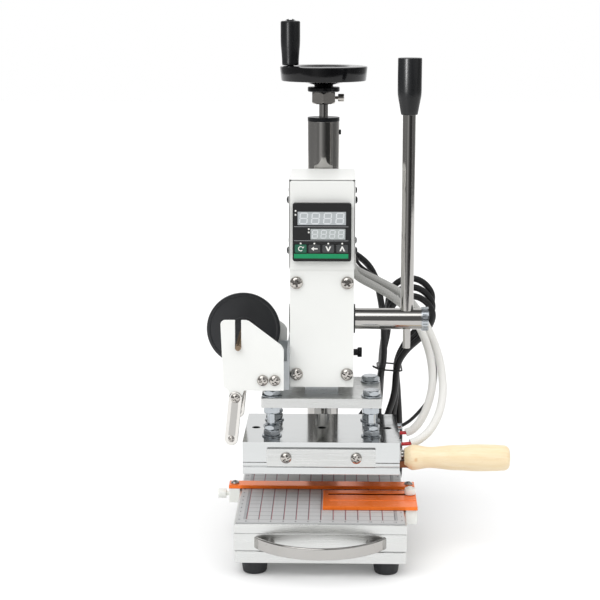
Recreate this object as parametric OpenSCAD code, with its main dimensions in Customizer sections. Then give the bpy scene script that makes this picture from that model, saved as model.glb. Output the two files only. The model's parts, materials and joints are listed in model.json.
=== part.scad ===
// Bench hot foil stamping press: a lever-driven ram carries a heated die block over a sliding table.
// Millimetres. X is right, Y is away from the operator, Z is up; the origin is on the bench between the feet.

/* [Base] */
// Width of the base plate and of the table
base_w = 139; // [124:1:160]
// Depth of the base plate
base_d = 200; // [190:1:240]
// Thickness of the base plate
base_t = 10; // [8:0.5:14]
// Corner radius of the base plate and the table
corner_r = 4; // [2:0.5:7]
// Height of a rubber foot
foot_h = 12; // [8:0.5:20]
// Diameter of a foot at the base plate
foot_top_d = 23; // [18:0.5:28]
// Diameter of a foot at the bench
foot_bottom_d = 19.5; // [14:0.5:26]
// Distance of a foot's centre from the base's edges
foot_inset = 16; // [14:0.5:22]

/* [Table] */
// Depth of the sliding table
table_d = 150; // [130:1:152]
// Height of the table's carriage
carriage_h = 14.5; // [11:0.5:18]
// Thickness of the table plate
table_t = 8; // [6:0.5:12]
// Thickness of the ruled mat
mat_t = 1; // [0.5:0.1:2]
// Distance between the guide rails
rail_gauge = 90; // [70:1:96]
// Width of a guide rail
rail_w = 15; // [10:0.5:20]
// Height of a guide rail
rail_h = 8; // [6:0.5:9]
// Length of the bow pull along the carriage
pull_w = 106; // [90:1:116]
// How far the bow pull stands out
pull_out = 28; // [20:1:36]
// Height of the bow pull's strip
pull_h = 10; // [6:0.5:11]
// Distance between the bow pull's posts
pull_posts = 80; // [66:1:86]

/* [Stop bars] */
// Thickness of an orange stop bar
stop_t = 3; // [2:0.5:4]
// Overhang of a stop bar past the table's side
stop_over = 10; // [8:0.5:13]
// Width of the long stop bar
long_stop_d = 14; // [10:0.5:18]
// Place of the long stop bar's front edge
long_stop_y = -10.5; // [-14:0.5:0]
// Length of the short stop plate
short_stop_w = 78; // [60:1:90]
// Width of the short stop plate
short_stop_d = 45; // [30:1:48]
// Place of the short stop plate's front edge
short_stop_y = -66.5; // [-72:0.5:-64]
// Height of the white brackets that carry the stop bars
bracket_h = 12.5; // [9:0.5:16]

/* [Column and handwheel] */
// Diameter of the chrome column
column_d = 28; // [24:0.5:30]
// Bore of the column, where the lead screw turns
column_bore_d = 18; // [15:0.5:19]
// Distance of the column's axis from the base's rear edge
column_inset = 22; // [20:0.5:30]
// Bare length of column above the controller box
column_above = 40; // [34:1:60]
// Diameter of the lead screw
screw_d = 8; // [6:0.5:10]
// Bare length of lead screw between the cap and the hex collar
screw_bare = 11.5; // [6:0.5:20]
// Diameter of the handwheel
wheel_d = 76; // [64:1:90]
// Diameter of the handwheel's dished opening
wheel_dish_d = 46; // [38:1:50]
// Height of the handwheel's hub below its rim
wheel_hub_h = 9.5; // [8:0.5:18]
// Height of the handwheel's rim
wheel_rim_h = 13; // [10:0.5:16]
// Length of the crank grip
crank_l = 38; // [30:1:50]
// Diameter of the crank grip's top
crank_d = 17; // [13:0.5:18]

/* [Head] */
// Width of the head casting
head_w = 53; // [50:0.5:60]
// Height of the head casting
head_h = 99.5; // [90:0.5:115]
// Thickness of the head's front cover
cover_t = 3; // [2:0.5:5]
// Width of the controller box
box_w = 54.6; // [53:0.2:62]
// Height of the controller box
box_h = 74.5; // [60:0.5:84]
// Wall of the controller box
box_wall = 1.2; // [0.8:0.1:2]
// Side of the temperature controller's square bezel
bezel_w = 48; // [46:0.5:49]
// Depth of the bezel in front of the box
bezel_t = 5; // [4.5:0.5:8]
// Width of a controller button
button_w = 9.8; // [8:0.2:10.4]
// Height of a controller button
button_h = 6.8; // [5:0.2:8]

/* [Ram and lever] */
// Width of the square ram
ram_w = 28; // [24:0.5:32]
// Depth of the square ram
ram_d = 27; // [23:0.5:31]
// Place of the ram's axis, front to back
ram_y = -8; // [-12:0.5:-4]
// Module of the rack and the pinion
tooth_m = 1; // [0.8:0.05:1.1]
// Teeth on the pinion
pinion_teeth = 16; // [16:1:18]
// Diameter of the pinion shaft
shaft_d = 18; // [18:0.5:22]
// Height of the pinion shaft above the head's underside
shaft_up = 51; // [44:0.5:56]
// Distance of the lever from the machine's middle
lever_x = 72; // [60:0.5:90]
// Diameter of the lever rod
lever_d = 11; // [9:0.5:13]
// Reach of the lever above the pinion shaft
lever_l = 220; // [180:1:260]
// Length of the lever's grip
grip_l = 47; // [40:1:70]
// Diameter of the lever's grip
grip_d = 20; // [18:0.5:26]

/* [Press] */
// Gap between the mat and the die pad with the lever up
daylight = 23; // [20:0.5:40]
// Drop of the die pad below the drawer rails
pad_drop = 2.5; // [1:0.5:4]
// Height of the drawer rails
drawer_rail_h = 10.5; // [9:0.5:14]
// Width of the heated block
block_w = 130; // [112:1:134]
// Depth of the heated block
block_d = 92; // [84:1:98]
// Thickness of the heated block
block_t = 17; // [15:0.5:22]
// Gap between the heated block and the press plate
hanger_gap = 26.5; // [24:0.5:36]
// Width of the press plate
plate_w = 100; // [96:1:110]
// Depth of the press plate
plate_d = 80; // [72:1:90]
// Thickness of the press plate
plate_t = 8; // [6:0.5:12]
// Gap between the press plate and the head
plate_gap = 6.5; // [5:0.5:10]
// Diameter of the hanger bolts
hanger_d = 8; // [6:0.5:9]
// Length of the wooden drawer handle
wood_l = 88; // [70:1:110]
// Largest diameter of the wooden drawer handle
wood_d = 22.5; // [19:0.5:24]

/* [Foil holder] */
// Thickness of the holder's white plates
foil_plate_t = 1.5; // [1:0.5:2.5]
// Distance of the foil axle from the machine's middle
foil_x = 68.5; // [64:0.5:72]
// Height of the foil axle above the head's underside
foil_up = 37.5; // [35:0.5:40]
// Diameter of the foil axle
foil_axle_d = 5; // [4:0.5:6]
// Diameter of the black reel disc
foil_disc_d = 64; // [50:1:66]
// Distance between the holder's front and rear plates
foil_span = 86; // [70:1:90]

/* [Hidden] */
$fn = 64;
// Gap of a running fit, on the radius
run = 0.05;
// Gap of a flat slide
slide_gap = 0.1;
// Gap between pieces that pass each other
pass_gap = 0.3;
// How far a cut runs past the face it opens
past = 1;
// Travel of the head up the column
head_travel = 30;
// Travel of the ram
ram_travel = 11.8;

// Levels, from the bench up
base_z = foot_h;
base_top = base_z + base_t;
carriage_z = base_top + pass_gap;
carriage_top = carriage_z + carriage_h;
mat_z = carriage_top + table_t;
mat_top = mat_z + mat_t;
stop_z = mat_top + pass_gap;
stop_top = stop_z + stop_t;
die_z = mat_top + daylight;
drawer_z = die_z + pad_drop;
block_z = drawer_z + drawer_rail_h;
block_top = block_z + block_t;
plate_z = block_top + hanger_gap;
plate_top = plate_z + plate_t;
head_z = plate_top + plate_gap;
head_top = head_z + head_h;
box_top = head_top + box_h;
column_top = box_top + column_above;
cap_t = 3.5;
collar_z = column_top + cap_t + screw_bare;
collar_h = 10.5;
wheel_z = collar_z + collar_h;
rim_z = wheel_z + wheel_hub_h;
rim_top = rim_z + wheel_rim_h;

// Places, front to back
front_y = -base_d / 2;
table_back = front_y + table_d;
column_y = base_d / 2 - column_inset;
head_front = ram_y - ram_d / 2 - 0.5;
cover_front = head_front - cover_t;
head_back = column_y - column_d / 2 - 6;
box_front = cover_front - 1;
box_back = head_back + 2;
block_y = ram_y - 42;
block_back = block_y + block_d;
plate_y = ram_y - plate_d / 2 + 8;
side_x = base_w / 2;

// Ram, rack and pinion
tooth_pitch = PI * tooth_m;
pinion_r = tooth_m * pinion_teeth / 2;
tooth_play = 0.1;
pressure_angle = 20;
ram_back = ram_y + ram_d / 2;
shaft_y = ram_back - tooth_m + pinion_r;
shaft_z = head_z + shaft_up;
pinion_w = ram_w + 1;
ram_top = shaft_z + ram_travel + 10;
spring_h = 18;
bush_wall = 2;
bush_d = shaft_d + 2 * bush_wall;
shaft_end = lever_x + 12.2;
end_cap_t = 6;
// Spigot of the lever, through the shaft, and the depth of the rod's seat in it
spigot_d = 6.5;
lever_seat = 2;
grip_hold = 20;

// Column fittings
hub_d = column_d + 14;
column_bush_d = column_d + 4;
column_bush_l = 22;
nut_h = 14;
nut_z = head_z + 52;
key_w = 7.6;
lock_z = head_z + 7;

// Hanger bolts at the press plate's corners
hanger_x = plate_w / 2 - 8.5;
hanger_ys = [plate_y + 10, plate_y + 62];
hex_af = 1.625 * hanger_d;
nut_t = 0.8 * hanger_d;

// Heated block and drawer
heater_ys = [ram_y - 15, ram_y + 20];
heater_d = 8;
heater_z = block_z + block_t / 2;
heater_blind = 11;
heater_out = 2;
bolt_sink = block_top - heater_z - heater_d / 2 - 0.5;
rail_web = 6;
rail_lip = 6;
lip_t = 3;
die_w = block_w - 2;
strip_w = 90;
strip_h = 15;
strip_t = 3;
strip_screw_x = 29;
wood_y = ram_y - 27;
wood_z = block_z + 0.5;
wood_x = block_w / 2 + 4;
tongue_z = drawer_z + lip_t + 0.5;
tongue_w = 12;
tongue_h = 5.6;
tongue_in = 15;
tongue_pin_d = 7.6;
tongue_pin_z = tongue_z + tongue_h + 4.5;

// Controller
bezel_z = head_top + box_h / 2 - 5.5;
button_xs = [-17.4, -6.2, 5.2, 16.6];
button_z = bezel_z - bezel_w * 0.28;
button_travel = 0.8;
button_t = 2.8;
// Corners of the display windows, from the bezel's middle
windows = [[[-20, 6], [19.6, 17]], [[-9.4, -6], [19.2, 3]]];
window_t = 0.6;
screw_xs = [-21, 21];
screw_zs = [head_z + 11, head_top - 11];

// Foil holder
foil_z = head_z + foil_up;
foil_front = cover_front - 17;
foil_back = foil_front + foil_span;
foil_out = foil_x + 14.5;
foil_in = 31;
arm_x = foil_x + 2.5;
arm_z = head_z - 5.4;
arm_l = 35;
arm_tilt = 6;
arm_w = 11;

// Power cord, wound as a hank behind the machine
cord_d = 6;
gland_x = -20;
gland_z = 250;
gland_l = 22;
hank_x = 61;
hank_lean = 19;
hank_y = 105;
hank_top = 206;
hank_bottom = 3.5;
hank_top_r = 20;
hank_bottom_r = 18;
// The loops' tops step down towards the front, and their feet fan out under the machine
hank_drop = 7;
hank_foot = -36;
hank_fan = 14;
hank_waist_r = 7;
hank_waist_z = 126;
hank_step = 7;
hank_loops = 3;
tail_z = 80;
tail_back = 9;

// Heater leads in glass-fibre sleeves, and the black sensor lead
sleeve_d = 7;
sensor_d = 3;
lead_points = [
    [[19, 63, 252], [19, 66, 252], [20.3, 70.5, 250.8], [23, 74.5, 247], [25, 76.8, 240.5], [25.5, 77, 233.5],
     [25.9, 77, 226.5], [27.4, 77, 220.3], [31, 77, 215.8], [36.5, 77, 212.2], [43, 77, 208.8], [50, 76.5, 205],
     [59, 75, 199.7], [68, 72.5, 193.6], [76.5, 69, 185.8], [84, 63.5, 176], [90, 56.5, 164], [94, 49, 152],
     [96, 41, 140], [96, 33.5, 128.5], [93.5, 27, 117.5], [89.5, 21, 107.5], [84, 16, 98.5], [78, 13, 92.8],
     [72, 12, 90.5], [69, 12, 90.3], [67, 12, 90.3]],
    [[19, 63, 263], [19, 67.5, 263], [19.8, 74.5, 261.3], [21.8, 80.8, 256], [23.4, 84, 248.5], [24.1, 85.2, 241],
     [24.4, 85.5, 233.5], [25.4, 85.5, 226.8], [28.4, 85.4, 221.8], [34, 85.2, 218.3], [41, 85, 215], [48, 84.5, 211.7],
     [58, 83.5, 206.8], [68, 81, 201.5], [76.5, 77.5, 195], [84.5, 72.5, 186], [91.5, 66, 174.5], [98, 58, 161.5],
     [102.5, 48.5, 148.5], [104.5, 37, 136], [104.5, 23, 125], [102, 8, 115], [97, -5, 106], [90, -15, 98.5],
     [82, -21, 93.5], [75, -23, 91], [69, -23, 90.3], [67, -23, 90.3]]];
sensor_points = [[19, 63, 274], [19, 68, 274], [19.6, 77, 272.2], [21.3, 84.8, 266.5], [23.3, 89.5, 258],
    [25, 91.8, 248.5], [26.5, 92.6, 239.5], [28.5, 92.8, 231], [33, 92.6, 223.5], [41, 92, 217.5], [50, 91, 212],
    [60, 89.5, 205.5], [69, 87, 197.5], [77, 82.5, 187], [85, 75.5, 175], [92, 66, 162], [97, 57, 149],
    [99.5, 47, 136], [97.5, 39.5, 123.5], [92, 35.8, 112.5], [84.5, 34.6, 103], [77, 34.1, 95.5], [70.5, 34, 91.2],
    [67.3, 34, 90.3], [65.3, 34, 90.3]];

// Shared shapes

// A cylinder along X or Y from a start point
module rod_x(p, d, l) {
    translate(p) rotate([0, 90, 0]) cylinder(d = d, h = l);
}

module rod_y(p, d, l) {
    translate(p) rotate([-90, 0, 0]) cylinder(d = d, h = l);
}

module rod_z(p, d, l) {
    translate(p) cylinder(d = d, h = l);
}

// A block between two corners
module block(a, b) {
    translate(a) cube(b - a);
}

// A flat outline drawn in X and Z, given a thickness along Y
module plate_xz(y, t) {
    translate([0, y + t, 0]) rotate([90, 0, 0]) linear_extrude(t) children();
}

// A flat outline drawn in Y and Z, given a length along X
module bar_yz(x, l) {
    translate([x, 0, 0]) rotate([90, 0, 90]) linear_extrude(l) children();
}

module round_rect(a, b, r) {
    translate([a.x + r, a.y]) square([b.x - a.x - 2 * r, b.y - a.y]);
    translate([a.x, a.y + r]) square([b.x - a.x, b.y - a.y - 2 * r]);
    for (x = [a.x + r, b.x - r], y = [a.y + r, b.y - r]) translate([x, y]) circle(r);
}

// A hexagon across its flats
module hex_z(p, af, h) {
    translate(p) cylinder(d = af / cos(30), h = h, $fn = 6);
}

// A domed screw head on the face it presses, pointing along +Z
module pan_head(d, h) {
    r = (d * d / 4 + h * h) / (2 * h);
    intersection() {
        translate([0, 0, h - r]) sphere(r);
        cylinder(d = d, h = h + past);
    }
}

// A curve through key points of distance and radius, eased between them
function eased(keys, x, i = 0) =
    i >= len(keys) - 2 || x <= keys[i + 1].x
        ? let (a = keys[i], b = keys[i + 1], f = (x - a.x) / (b.x - a.x))
            a.y + (b.y - a.y) * (1 - cos(180 * f)) / 2
        : eased(keys, x, i + 1);

// A tube swept along points, with triangles on its walls and ends
function unit(v) = v / norm(v);
function tangents(p) = [for (i = [0:len(p) - 1]) unit(p[min(i + 1, len(p) - 1)] - p[max(i - 1, 0)])];
function across(n, t) = unit(n - (n * t) * t);
function normals(t) = let (seed = abs(t[0].z) < 0.9 ? [0, 0, 1] : [1, 0, 0])
    [for (i = 0, n = across(seed, t[0]); i < len(t); i = i + 1, n = i < len(t) ? across(n, t[i]) : n) n];
function tube_points(p, r, sides) = let (t = tangents(p), n = normals(t))
    [for (i = [0:len(p) - 1], k = [0:sides - 1])
        p[i] + r * (cos(360 * k / sides) * n[i] + sin(360 * k / sides) * cross(t[i], n[i]))];
function tube_faces(rings, sides) = concat(
    [for (k = [1:sides - 2]) [0, k, k + 1]],
    [for (i = [0:rings - 2], k = [0:sides - 1], half = [0, 1])
        let (a = i * sides + k, b = i * sides + (k + 1) % sides)
            half == 0 ? [a, a + sides, b + sides] : [a, b + sides, b]],
    [for (k = [1:sides - 2]) let (e = (rings - 1) * sides) [e, e + k + 1, e + k]]);

module tube(p, d, sides) {
    polyhedron(tube_points(p, d / 2, sides), tube_faces(len(p), sides), convexity = 10);
}

// Least distance between turns of one tube, less its thickness
function self_gap(p, d, skip) =
    min([for (i = [0:len(p) - 1 - skip], j = [i + skip:len(p) - 1]) norm(p[i] - p[j])]) - d;

// Base and column

module base_plate() {
    color("gainsboro") difference() {
        translate([0, 0, base_z]) linear_extrude(base_t)
            round_rect([-side_x, front_y], [side_x, -front_y], corner_r);
        rod_z([0, column_y, base_z - past], column_bore_d - 4, base_t + 2 * past);
    }
}

module foot_profile() {
    edge = 1.5;
    polygon([[0, 0], [foot_bottom_d / 2 - edge, 0], [foot_bottom_d / 2, edge],
        [foot_top_d / 2, foot_h], [0, foot_h]]);
}

module rubber_feet() {
    color("#2b2c30")
        for (x = [-1, 1], y = [-1, 1])
            translate([x * (side_x - foot_inset), y * (base_d / 2 - foot_inset), 0])
                rotate_extrude() foot_profile();
}

module guide_rails() {
    end_gap = 4;
    color("silver")
        for (s = [-1, 1])
            block([s * rail_gauge / 2 - rail_w / 2, front_y + end_gap, base_top],
                [s * rail_gauge / 2 + rail_w / 2, -front_y - end_gap, base_top + rail_h]);
}

module column() {
    floor_t = 20;
    slot_gap = 4;
    color("lightgray") difference() {
        union() {
            rod_z([0, column_y, base_top], column_d, column_top - base_top);
            rod_z([0, column_y, base_z], column_bore_d - 4 - 2 * run, base_t + past);
        }
        rod_z([0, column_y, base_top + floor_t], column_bore_d, column_top);
        block([-key_w / 2 - pass_gap, column_y, nut_z - slot_gap],
            [key_w / 2 + pass_gap, column_y + column_d, nut_z + nut_h + head_travel + slot_gap]);
    }
}

module column_cap() {
    spigot = 5;
    color("dimgray") difference() {
        union() {
            rod_z([0, column_y, column_top], column_d, cap_t);
            rod_z([0, column_y, column_top - spigot], column_bore_d - 2 * run, spigot + past);
        }
        rod_z([0, column_y, column_top - spigot - past], screw_d + 2 * run, cap_t + spigot + 2 * past);
    }
}

// Sliding table and its stop bars

module carriage() {
    color("whitesmoke") difference() {
        block([-side_x, front_y, carriage_z], [side_x, table_back, carriage_top]);
        for (s = [-1, 1])
            block([s * rail_gauge / 2 - rail_w / 2 - slide_gap, front_y + 2, carriage_z - past],
                [s * rail_gauge / 2 + rail_w / 2 + slide_gap, table_back + past, base_top + rail_h]);
    }
}

module table_plate() {
    color("gainsboro") translate([0, 0, carriage_top]) linear_extrude(table_t)
        round_rect([-side_x, front_y], [side_x, table_back], corner_r / 4);
}

module grid_mat() {
    edge = 1.5;
    color("darkgray") translate([0, 0, mat_z]) linear_extrude(mat_t)
        round_rect([-side_x + edge, front_y + edge], [side_x - edge, table_back - edge], corner_r / 4);
}

module pull_handle() {
    strip = 2.5;
    post_d = 7;
    bow_r = (pow(pull_w / 2, 2) + pow(pull_out, 2)) / (2 * pull_out);
    bow_y = front_y - pull_out + bow_r;
    pull_z = carriage_z + (carriage_h - pull_h) / 2;
    post_l = front_y - (bow_y - sqrt(pow(bow_r - strip / 2, 2) - pow(pull_posts / 2, 2)));
    color("lightgray") {
        translate([0, 0, pull_z]) linear_extrude(pull_h) intersection() {
            translate([0, bow_y]) difference() {
                circle(bow_r, $fn = 128);
                circle(bow_r - strip, $fn = 128);
            }
            translate([-pull_w, front_y - 2 * pull_out]) square([2 * pull_w, 2 * pull_out]);
        }
        for (s = [-1, 1])
            rod_y([s * pull_posts / 2, front_y - post_l, pull_z + pull_h / 2], post_d, post_l);
    }
}

stop_out = side_x + stop_over;
bracket_in = side_x + pass_gap;
long_stop_mid = long_stop_y + long_stop_d / 2;
knob_z = stop_z - bracket_h / 2;
stud_d = 4;

module long_stop_bar() {
    color("chocolate")
        block([-stop_out, long_stop_y, stop_z], [stop_out, long_stop_y + long_stop_d, stop_top]);
}

module long_stop_brackets() {
    color("ghostwhite") difference() {
        for (s = [-1, 1]) {
            x = s > 0 ? bracket_in : -stop_out;
            block([x, long_stop_y, stop_z - bracket_h],
                [x + stop_out - bracket_in, long_stop_y + long_stop_d, stop_z]);
        }
        rod_x([-stop_out - past, long_stop_mid, knob_z], stud_d + 2 * run, stop_over + past);
    }
}

module long_stop_knob() {
    knob_d = 8.4;
    knob_l = 7;
    neck = 2.5;
    color("ivory") {
        rod_x([-stop_out - neck - knob_l, long_stop_mid, knob_z], knob_d, knob_l);
        rod_x([-stop_out - neck - past, long_stop_mid, knob_z], stud_d, stop_over + neck + past - pass_gap);
    }
}

short_slot_y = short_stop_y + short_stop_d * 0.76;
short_knob_x = side_x + stop_over / 2;

module short_stop_bracket() {
    margin = 2.5;
    color("ghostwhite") difference() {
        block([bracket_in, short_stop_y + margin, stop_z - bracket_h],
            [stop_out - pass_gap, short_stop_y + short_stop_d - margin, stop_z]);
        rod_z([short_knob_x, short_slot_y, stop_z - bracket_h - past], stud_d + 2 * run, bracket_h + 2 * past);
    }
}

module short_stop_plate() {
    slot_w = stud_d + 2 * pass_gap;
    slot_end = 6;
    left = stop_out - short_stop_w;
    color("darkorange") difference() {
        block([left, short_stop_y, stop_z], [stop_out, short_stop_y + short_stop_d, stop_top]);
        block([left + slot_end, short_slot_y - slot_w / 2, stop_z - past],
            [short_knob_x, short_slot_y + slot_w / 2, stop_top + past]);
        for (x = [left + slot_end, short_knob_x])
            rod_z([x, short_slot_y, stop_z - past], slot_w, stop_t + 2 * past);
    }
}

module short_stop_knob() {
    knob_d = 9;
    knob_h = 5.5;
    stud_top = 1.2;
    color("ivory") {
        rod_z([short_knob_x, short_slot_y, stop_top + pass_gap], knob_d, knob_h);
        rod_z([short_knob_x, short_slot_y, stop_z - bracket_h + past], stud_d,
            bracket_h - past + stop_t + pass_gap + knob_h + stud_top);
    }
}

// Head

module head_casting() {
    ram_roof = 3;
    web_w = hub_d - 2;
    color("whitesmoke") difference() {
        union() {
            block([-head_w / 2, head_front, head_z], [head_w / 2, head_back, head_top]);
            block([-web_w / 2, head_back - past, head_z], [web_w / 2, column_y, head_top]);
            rod_z([0, column_y, head_z], hub_d, head_h);
        }
        // Channel of the ram, open at the front under the cover
        block([-ram_w / 2 - slide_gap, head_front - past, head_z - past],
            [ram_w / 2 + slide_gap, ram_back + slide_gap, ram_top + spring_h]);
        // Cross bore of the pinion shaft and its bushings
        rod_x([-head_w / 2 - past, shaft_y, shaft_z], bush_d, head_w + 2 * past);
        rod_z([0, column_y, head_z - past], column_bush_d, head_h + 2 * past);
        block([-key_w / 2, column_y, nut_z], [key_w / 2, column_y + hub_d, nut_z + nut_h]);
        rod_x([0, column_y, lock_z], 5 + 2 * run, hub_d);
        for (x = screw_xs, z = screw_zs) rod_y([x, head_front - past, z], 4.6, 9 + past);
    }
}

module bushings() {
    flange = 1.5;
    color("peru") {
        for (z = [head_z + 14, head_top - 8 - column_bush_l]) difference() {
            rod_z([0, column_y, z], column_bush_d, column_bush_l);
            rod_z([0, column_y, z - past], column_d + 2 * run, column_bush_l + 2 * past);
        }
        bush_l = head_w / 2 - pinion_w / 2 - pass_gap;
        for (s = [-1, 1]) difference() {
            union() {
                rod_x([s > 0 ? head_w / 2 - bush_l : -head_w / 2, shaft_y, shaft_z], bush_d, bush_l);
                rod_x([s > 0 ? head_w / 2 : -head_w / 2 - flange, shaft_y, shaft_z], bush_d + 3, flange);
            }
            rod_x([s > 0 ? 0 : -head_w, shaft_y, shaft_z], shaft_d + 2 * run, head_w);
        }
    }
}

module front_cover() {
    color("white") difference() {
        plate_xz(cover_front, cover_t) round_rect([-head_w / 2, head_z], [head_w / 2, head_top], 1);
        for (x = screw_xs, z = screw_zs) rod_y([x, cover_front - past, z], 5, cover_t + 2 * past);
    }
}

// Screws of the cover, the controller box and the foil holder
side_screws = [[8, 15], [8, 57], [52, 17], [52, 60]];
foil_screw_xs = [-48.5, -38.5];
foil_screw_z = head_z + 9.5;

module head_screws() {
    color("silver") {
        for (x = screw_xs, z = screw_zs) {
            translate([x, cover_front, z]) rotate([90, 0, 0]) pan_head(10.8, 4);
            rod_y([x, cover_front - 0.1, z], 4.5, cover_t + 8);
        }
        for (side = [-1, 1], s = side_screws)
            translate([side * box_w / 2, box_front + s[0], head_top + s[1]])
                rotate([0, side * 90, 0]) pan_head(6, 2);
        for (x = foil_screw_xs)
            translate([x, foil_front, foil_screw_z]) rotate([90, 0, 0]) pan_head(9.5, 3.5);
    }
}

module controller_box() {
    color("white") difference() {
        plate_xz(box_front, box_back - box_front)
            round_rect([-box_w / 2, head_top], [box_w / 2, box_top], 1);
        block([-box_w / 2 + box_wall, box_front + box_wall, head_top - past],
            [box_w / 2 - box_wall, box_back + past, box_top - box_wall]);
        plate_xz(box_front - past, box_wall + 2 * past)
            translate([0, bezel_z]) square(bezel_w - 3, center = true);
    }
}

module box_rear_panel() {
    inside = box_w / 2 - box_wall;
    color("white") difference() {
        block([-inside, box_back - box_wall, head_top], [inside, box_back, box_top - box_wall]);
        rod_y([gland_x, box_back - past - box_wall, gland_z], cord_d + 2, 4 * past);
        for (l = lead_points)
            rod_y([l[0].x, box_back - past - box_wall, l[0].z], sleeve_d, 4 * past);
        rod_y([sensor_points[0].x, box_back - past - box_wall, sensor_points[0].z], sensor_d + 2, 4 * past);
    }
}

module temp_controller() {
    pocket = button_t + 1;
    gap = 0.2;
    case_w = bezel_w - 3.6;
    face = box_front - bezel_t;
    color("#26272b") difference() {
        union() {
            plate_xz(face, bezel_t)
                round_rect([-bezel_w / 2, bezel_z - bezel_w / 2], [bezel_w / 2, bezel_z + bezel_w / 2], 2);
            block([-case_w / 2, box_front - past, bezel_z - case_w / 2],
                [case_w / 2, box_front + 70, bezel_z + case_w / 2]);
        }
        for (x = button_xs)
            block([x - button_w / 2 - gap, face - past, button_z - button_h / 2 - gap],
                [x + button_w / 2 + gap, face + pocket, button_z + button_h / 2 + gap]);
        // Display windows, one over the other
        for (w = windows)
            block([w[0].x, face - past, bezel_z + w[0].y], [w[1].x, face + window_t, bezel_z + w[1].y]);
    }
}

module controller_button(i) {
    face = box_front - bezel_t;
    color(i == 0 ? "darkgreen" : "dimgray")
        plate_xz(face - 0.4, button_t)
            round_rect([button_xs[i] - button_w / 2, button_z - button_h / 2],
                [button_xs[i] + button_w / 2, button_z + button_h / 2], 0.8);
}

module button_set() {
    controller_button(0);
}

module button_shift() {
    controller_button(1);
}

module button_down() {
    controller_button(2);
}

module button_up() {
    controller_button(3);
}

// Nut inside the column, keyed through the column's slot into the head
module lead_nut() {
    nut_d = column_bore_d - 2 * pass_gap;
    color("goldenrod") difference() {
        union() {
            rod_z([0, column_y, nut_z], nut_d, nut_h);
            block([-key_w / 2, column_y, nut_z], [key_w / 2, column_y + hub_d / 2 - 1, nut_z + nut_h]);
        }
        rod_z([0, column_y, nut_z - past], screw_d + 2 * run, nut_h + 2 * past);
    }
}

module column_lock_screw() {
    stem_d = 5;
    head_x = hub_d / 2 + 3;
    color("#1c1c1e") {
        rod_x([column_d / 2 + pass_gap, column_y, lock_z], stem_d, head_x - column_d / 2);
        rod_x([head_x, column_y, lock_z], 8, 3);
        rod_x([head_x + 2, column_y, lock_z], 6, 6);
        rod_x([head_x + 7, column_y, lock_z], 9, 4);
    }
}

// Tapered strain relief of the power cord, and the ends of the leads at the rear panel
module cable_grommets() {
    flange_t = 3;
    color("#202022") {
        difference() {
            union() {
                rod_y([gland_x, box_back, gland_z], cord_d + 6, flange_t);
                translate([gland_x, box_back + flange_t - past, gland_z]) rotate([-90, 0, 0])
                    cylinder(d1 = cord_d + 4.5, d2 = cord_d + 2.4, h = gland_l - flange_t + past);
            }
            rod_y([gland_x, box_back - past, gland_z], cord_d, gland_l + 2 * past);
        }
        for (l = lead_points)
            rod_y([l[0].x, box_back, l[0].z], sleeve_d + 2, l[0].y - box_back);
        rod_y([sensor_points[0].x, box_back, sensor_points[0].z], sensor_d + 3, sensor_points[0].y - box_back);
    }
}

// Handwheel on the lead screw

wheel_web_z = rim_z + 2.5;

module wheel_profile() {
    r = wheel_d / 2;
    dish = wheel_dish_d / 2;
    bore = screw_d / 2 + run;
    edge = 0.8;
    draft = 1;
    crown = 0.6;
    flange_r = 14;
    flange_top = wheel_z + 4.3;
    neck_r = 7.7;
    web_t = 4;
    hub_top = rim_z + 7;
    steps = 10;
    polygon(concat(
        [[bore, wheel_z], [flange_r - edge, wheel_z], [flange_r, wheel_z + edge], [flange_r, flange_top - edge],
         [flange_r - edge, flange_top], [neck_r, flange_top], [neck_r, wheel_web_z], [dish - 3, wheel_web_z],
         [dish, rim_z], [r - draft - edge, rim_z], [r - draft, rim_z + edge], [r, rim_top - crown - edge]],
        [for (i = [0:steps]) let (f = i / steps)
            [r - edge - f * (r - edge - dish), rim_top - crown * pow(2 * f - 1, 2)]],
        [[dish - 1, rim_top - crown - 1], [dish - 4, wheel_web_z + web_t], [neck_r + 1, wheel_web_z + web_t],
         [neck_r, hub_top], [bore, hub_top]]));
}

crank_r = wheel_d / 2 - 9;
pin_d = 6;

module handwheel() {
    color("#232326") difference() {
        translate([0, column_y, 0]) rotate_extrude($fn = 96) wheel_profile();
        rod_z([-crank_r, column_y, rim_z - past], pin_d + 2 * run, wheel_rim_h + 2 * past);
    }
}

// Collar with a corner to the front and a thumb screw through its right flat
module hex_collar() {
    collar_af = 20;
    chamfer = 1.2;
    corner = collar_af / 2 / cos(30);
    thumb_z = collar_z + collar_h / 2;
    thumb_d = 6.8;
    thumb_l = 5.4;
    stem_d = 3;
    color("silver") {
        difference() {
            translate([0, column_y, collar_z]) intersection() {
                rotate(30) hex_z([0, 0, 0], collar_af, collar_h);
                rotate_extrude() polygon([[0, 0], [corner - chamfer, 0], [corner, chamfer / 2],
                    [corner, collar_h - chamfer / 2], [corner - chamfer, collar_h], [0, collar_h]]);
            }
            rod_z([0, column_y, collar_z - past], screw_d + 2 * run, collar_h + 2 * past);
            rod_x([0, column_y, thumb_z], stem_d + 2 * run, collar_af);
        }
        rod_x([screw_d / 2 + 0.2, column_y, thumb_z], stem_d, collar_af / 2);
        rod_x([collar_af / 2 + 2.5, column_y, thumb_z], thumb_d, thumb_l);
    }
}

module lead_screw() {
    foot_gap = 12;
    shoulder = 4;
    color("silver") {
        rod_z([0, column_y, nut_z - foot_gap], screw_d, rim_z + 8 - nut_z + foot_gap);
        rod_z([0, column_y, column_top - 5 - pass_gap - shoulder], screw_d + 5, shoulder);
    }
}

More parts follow.
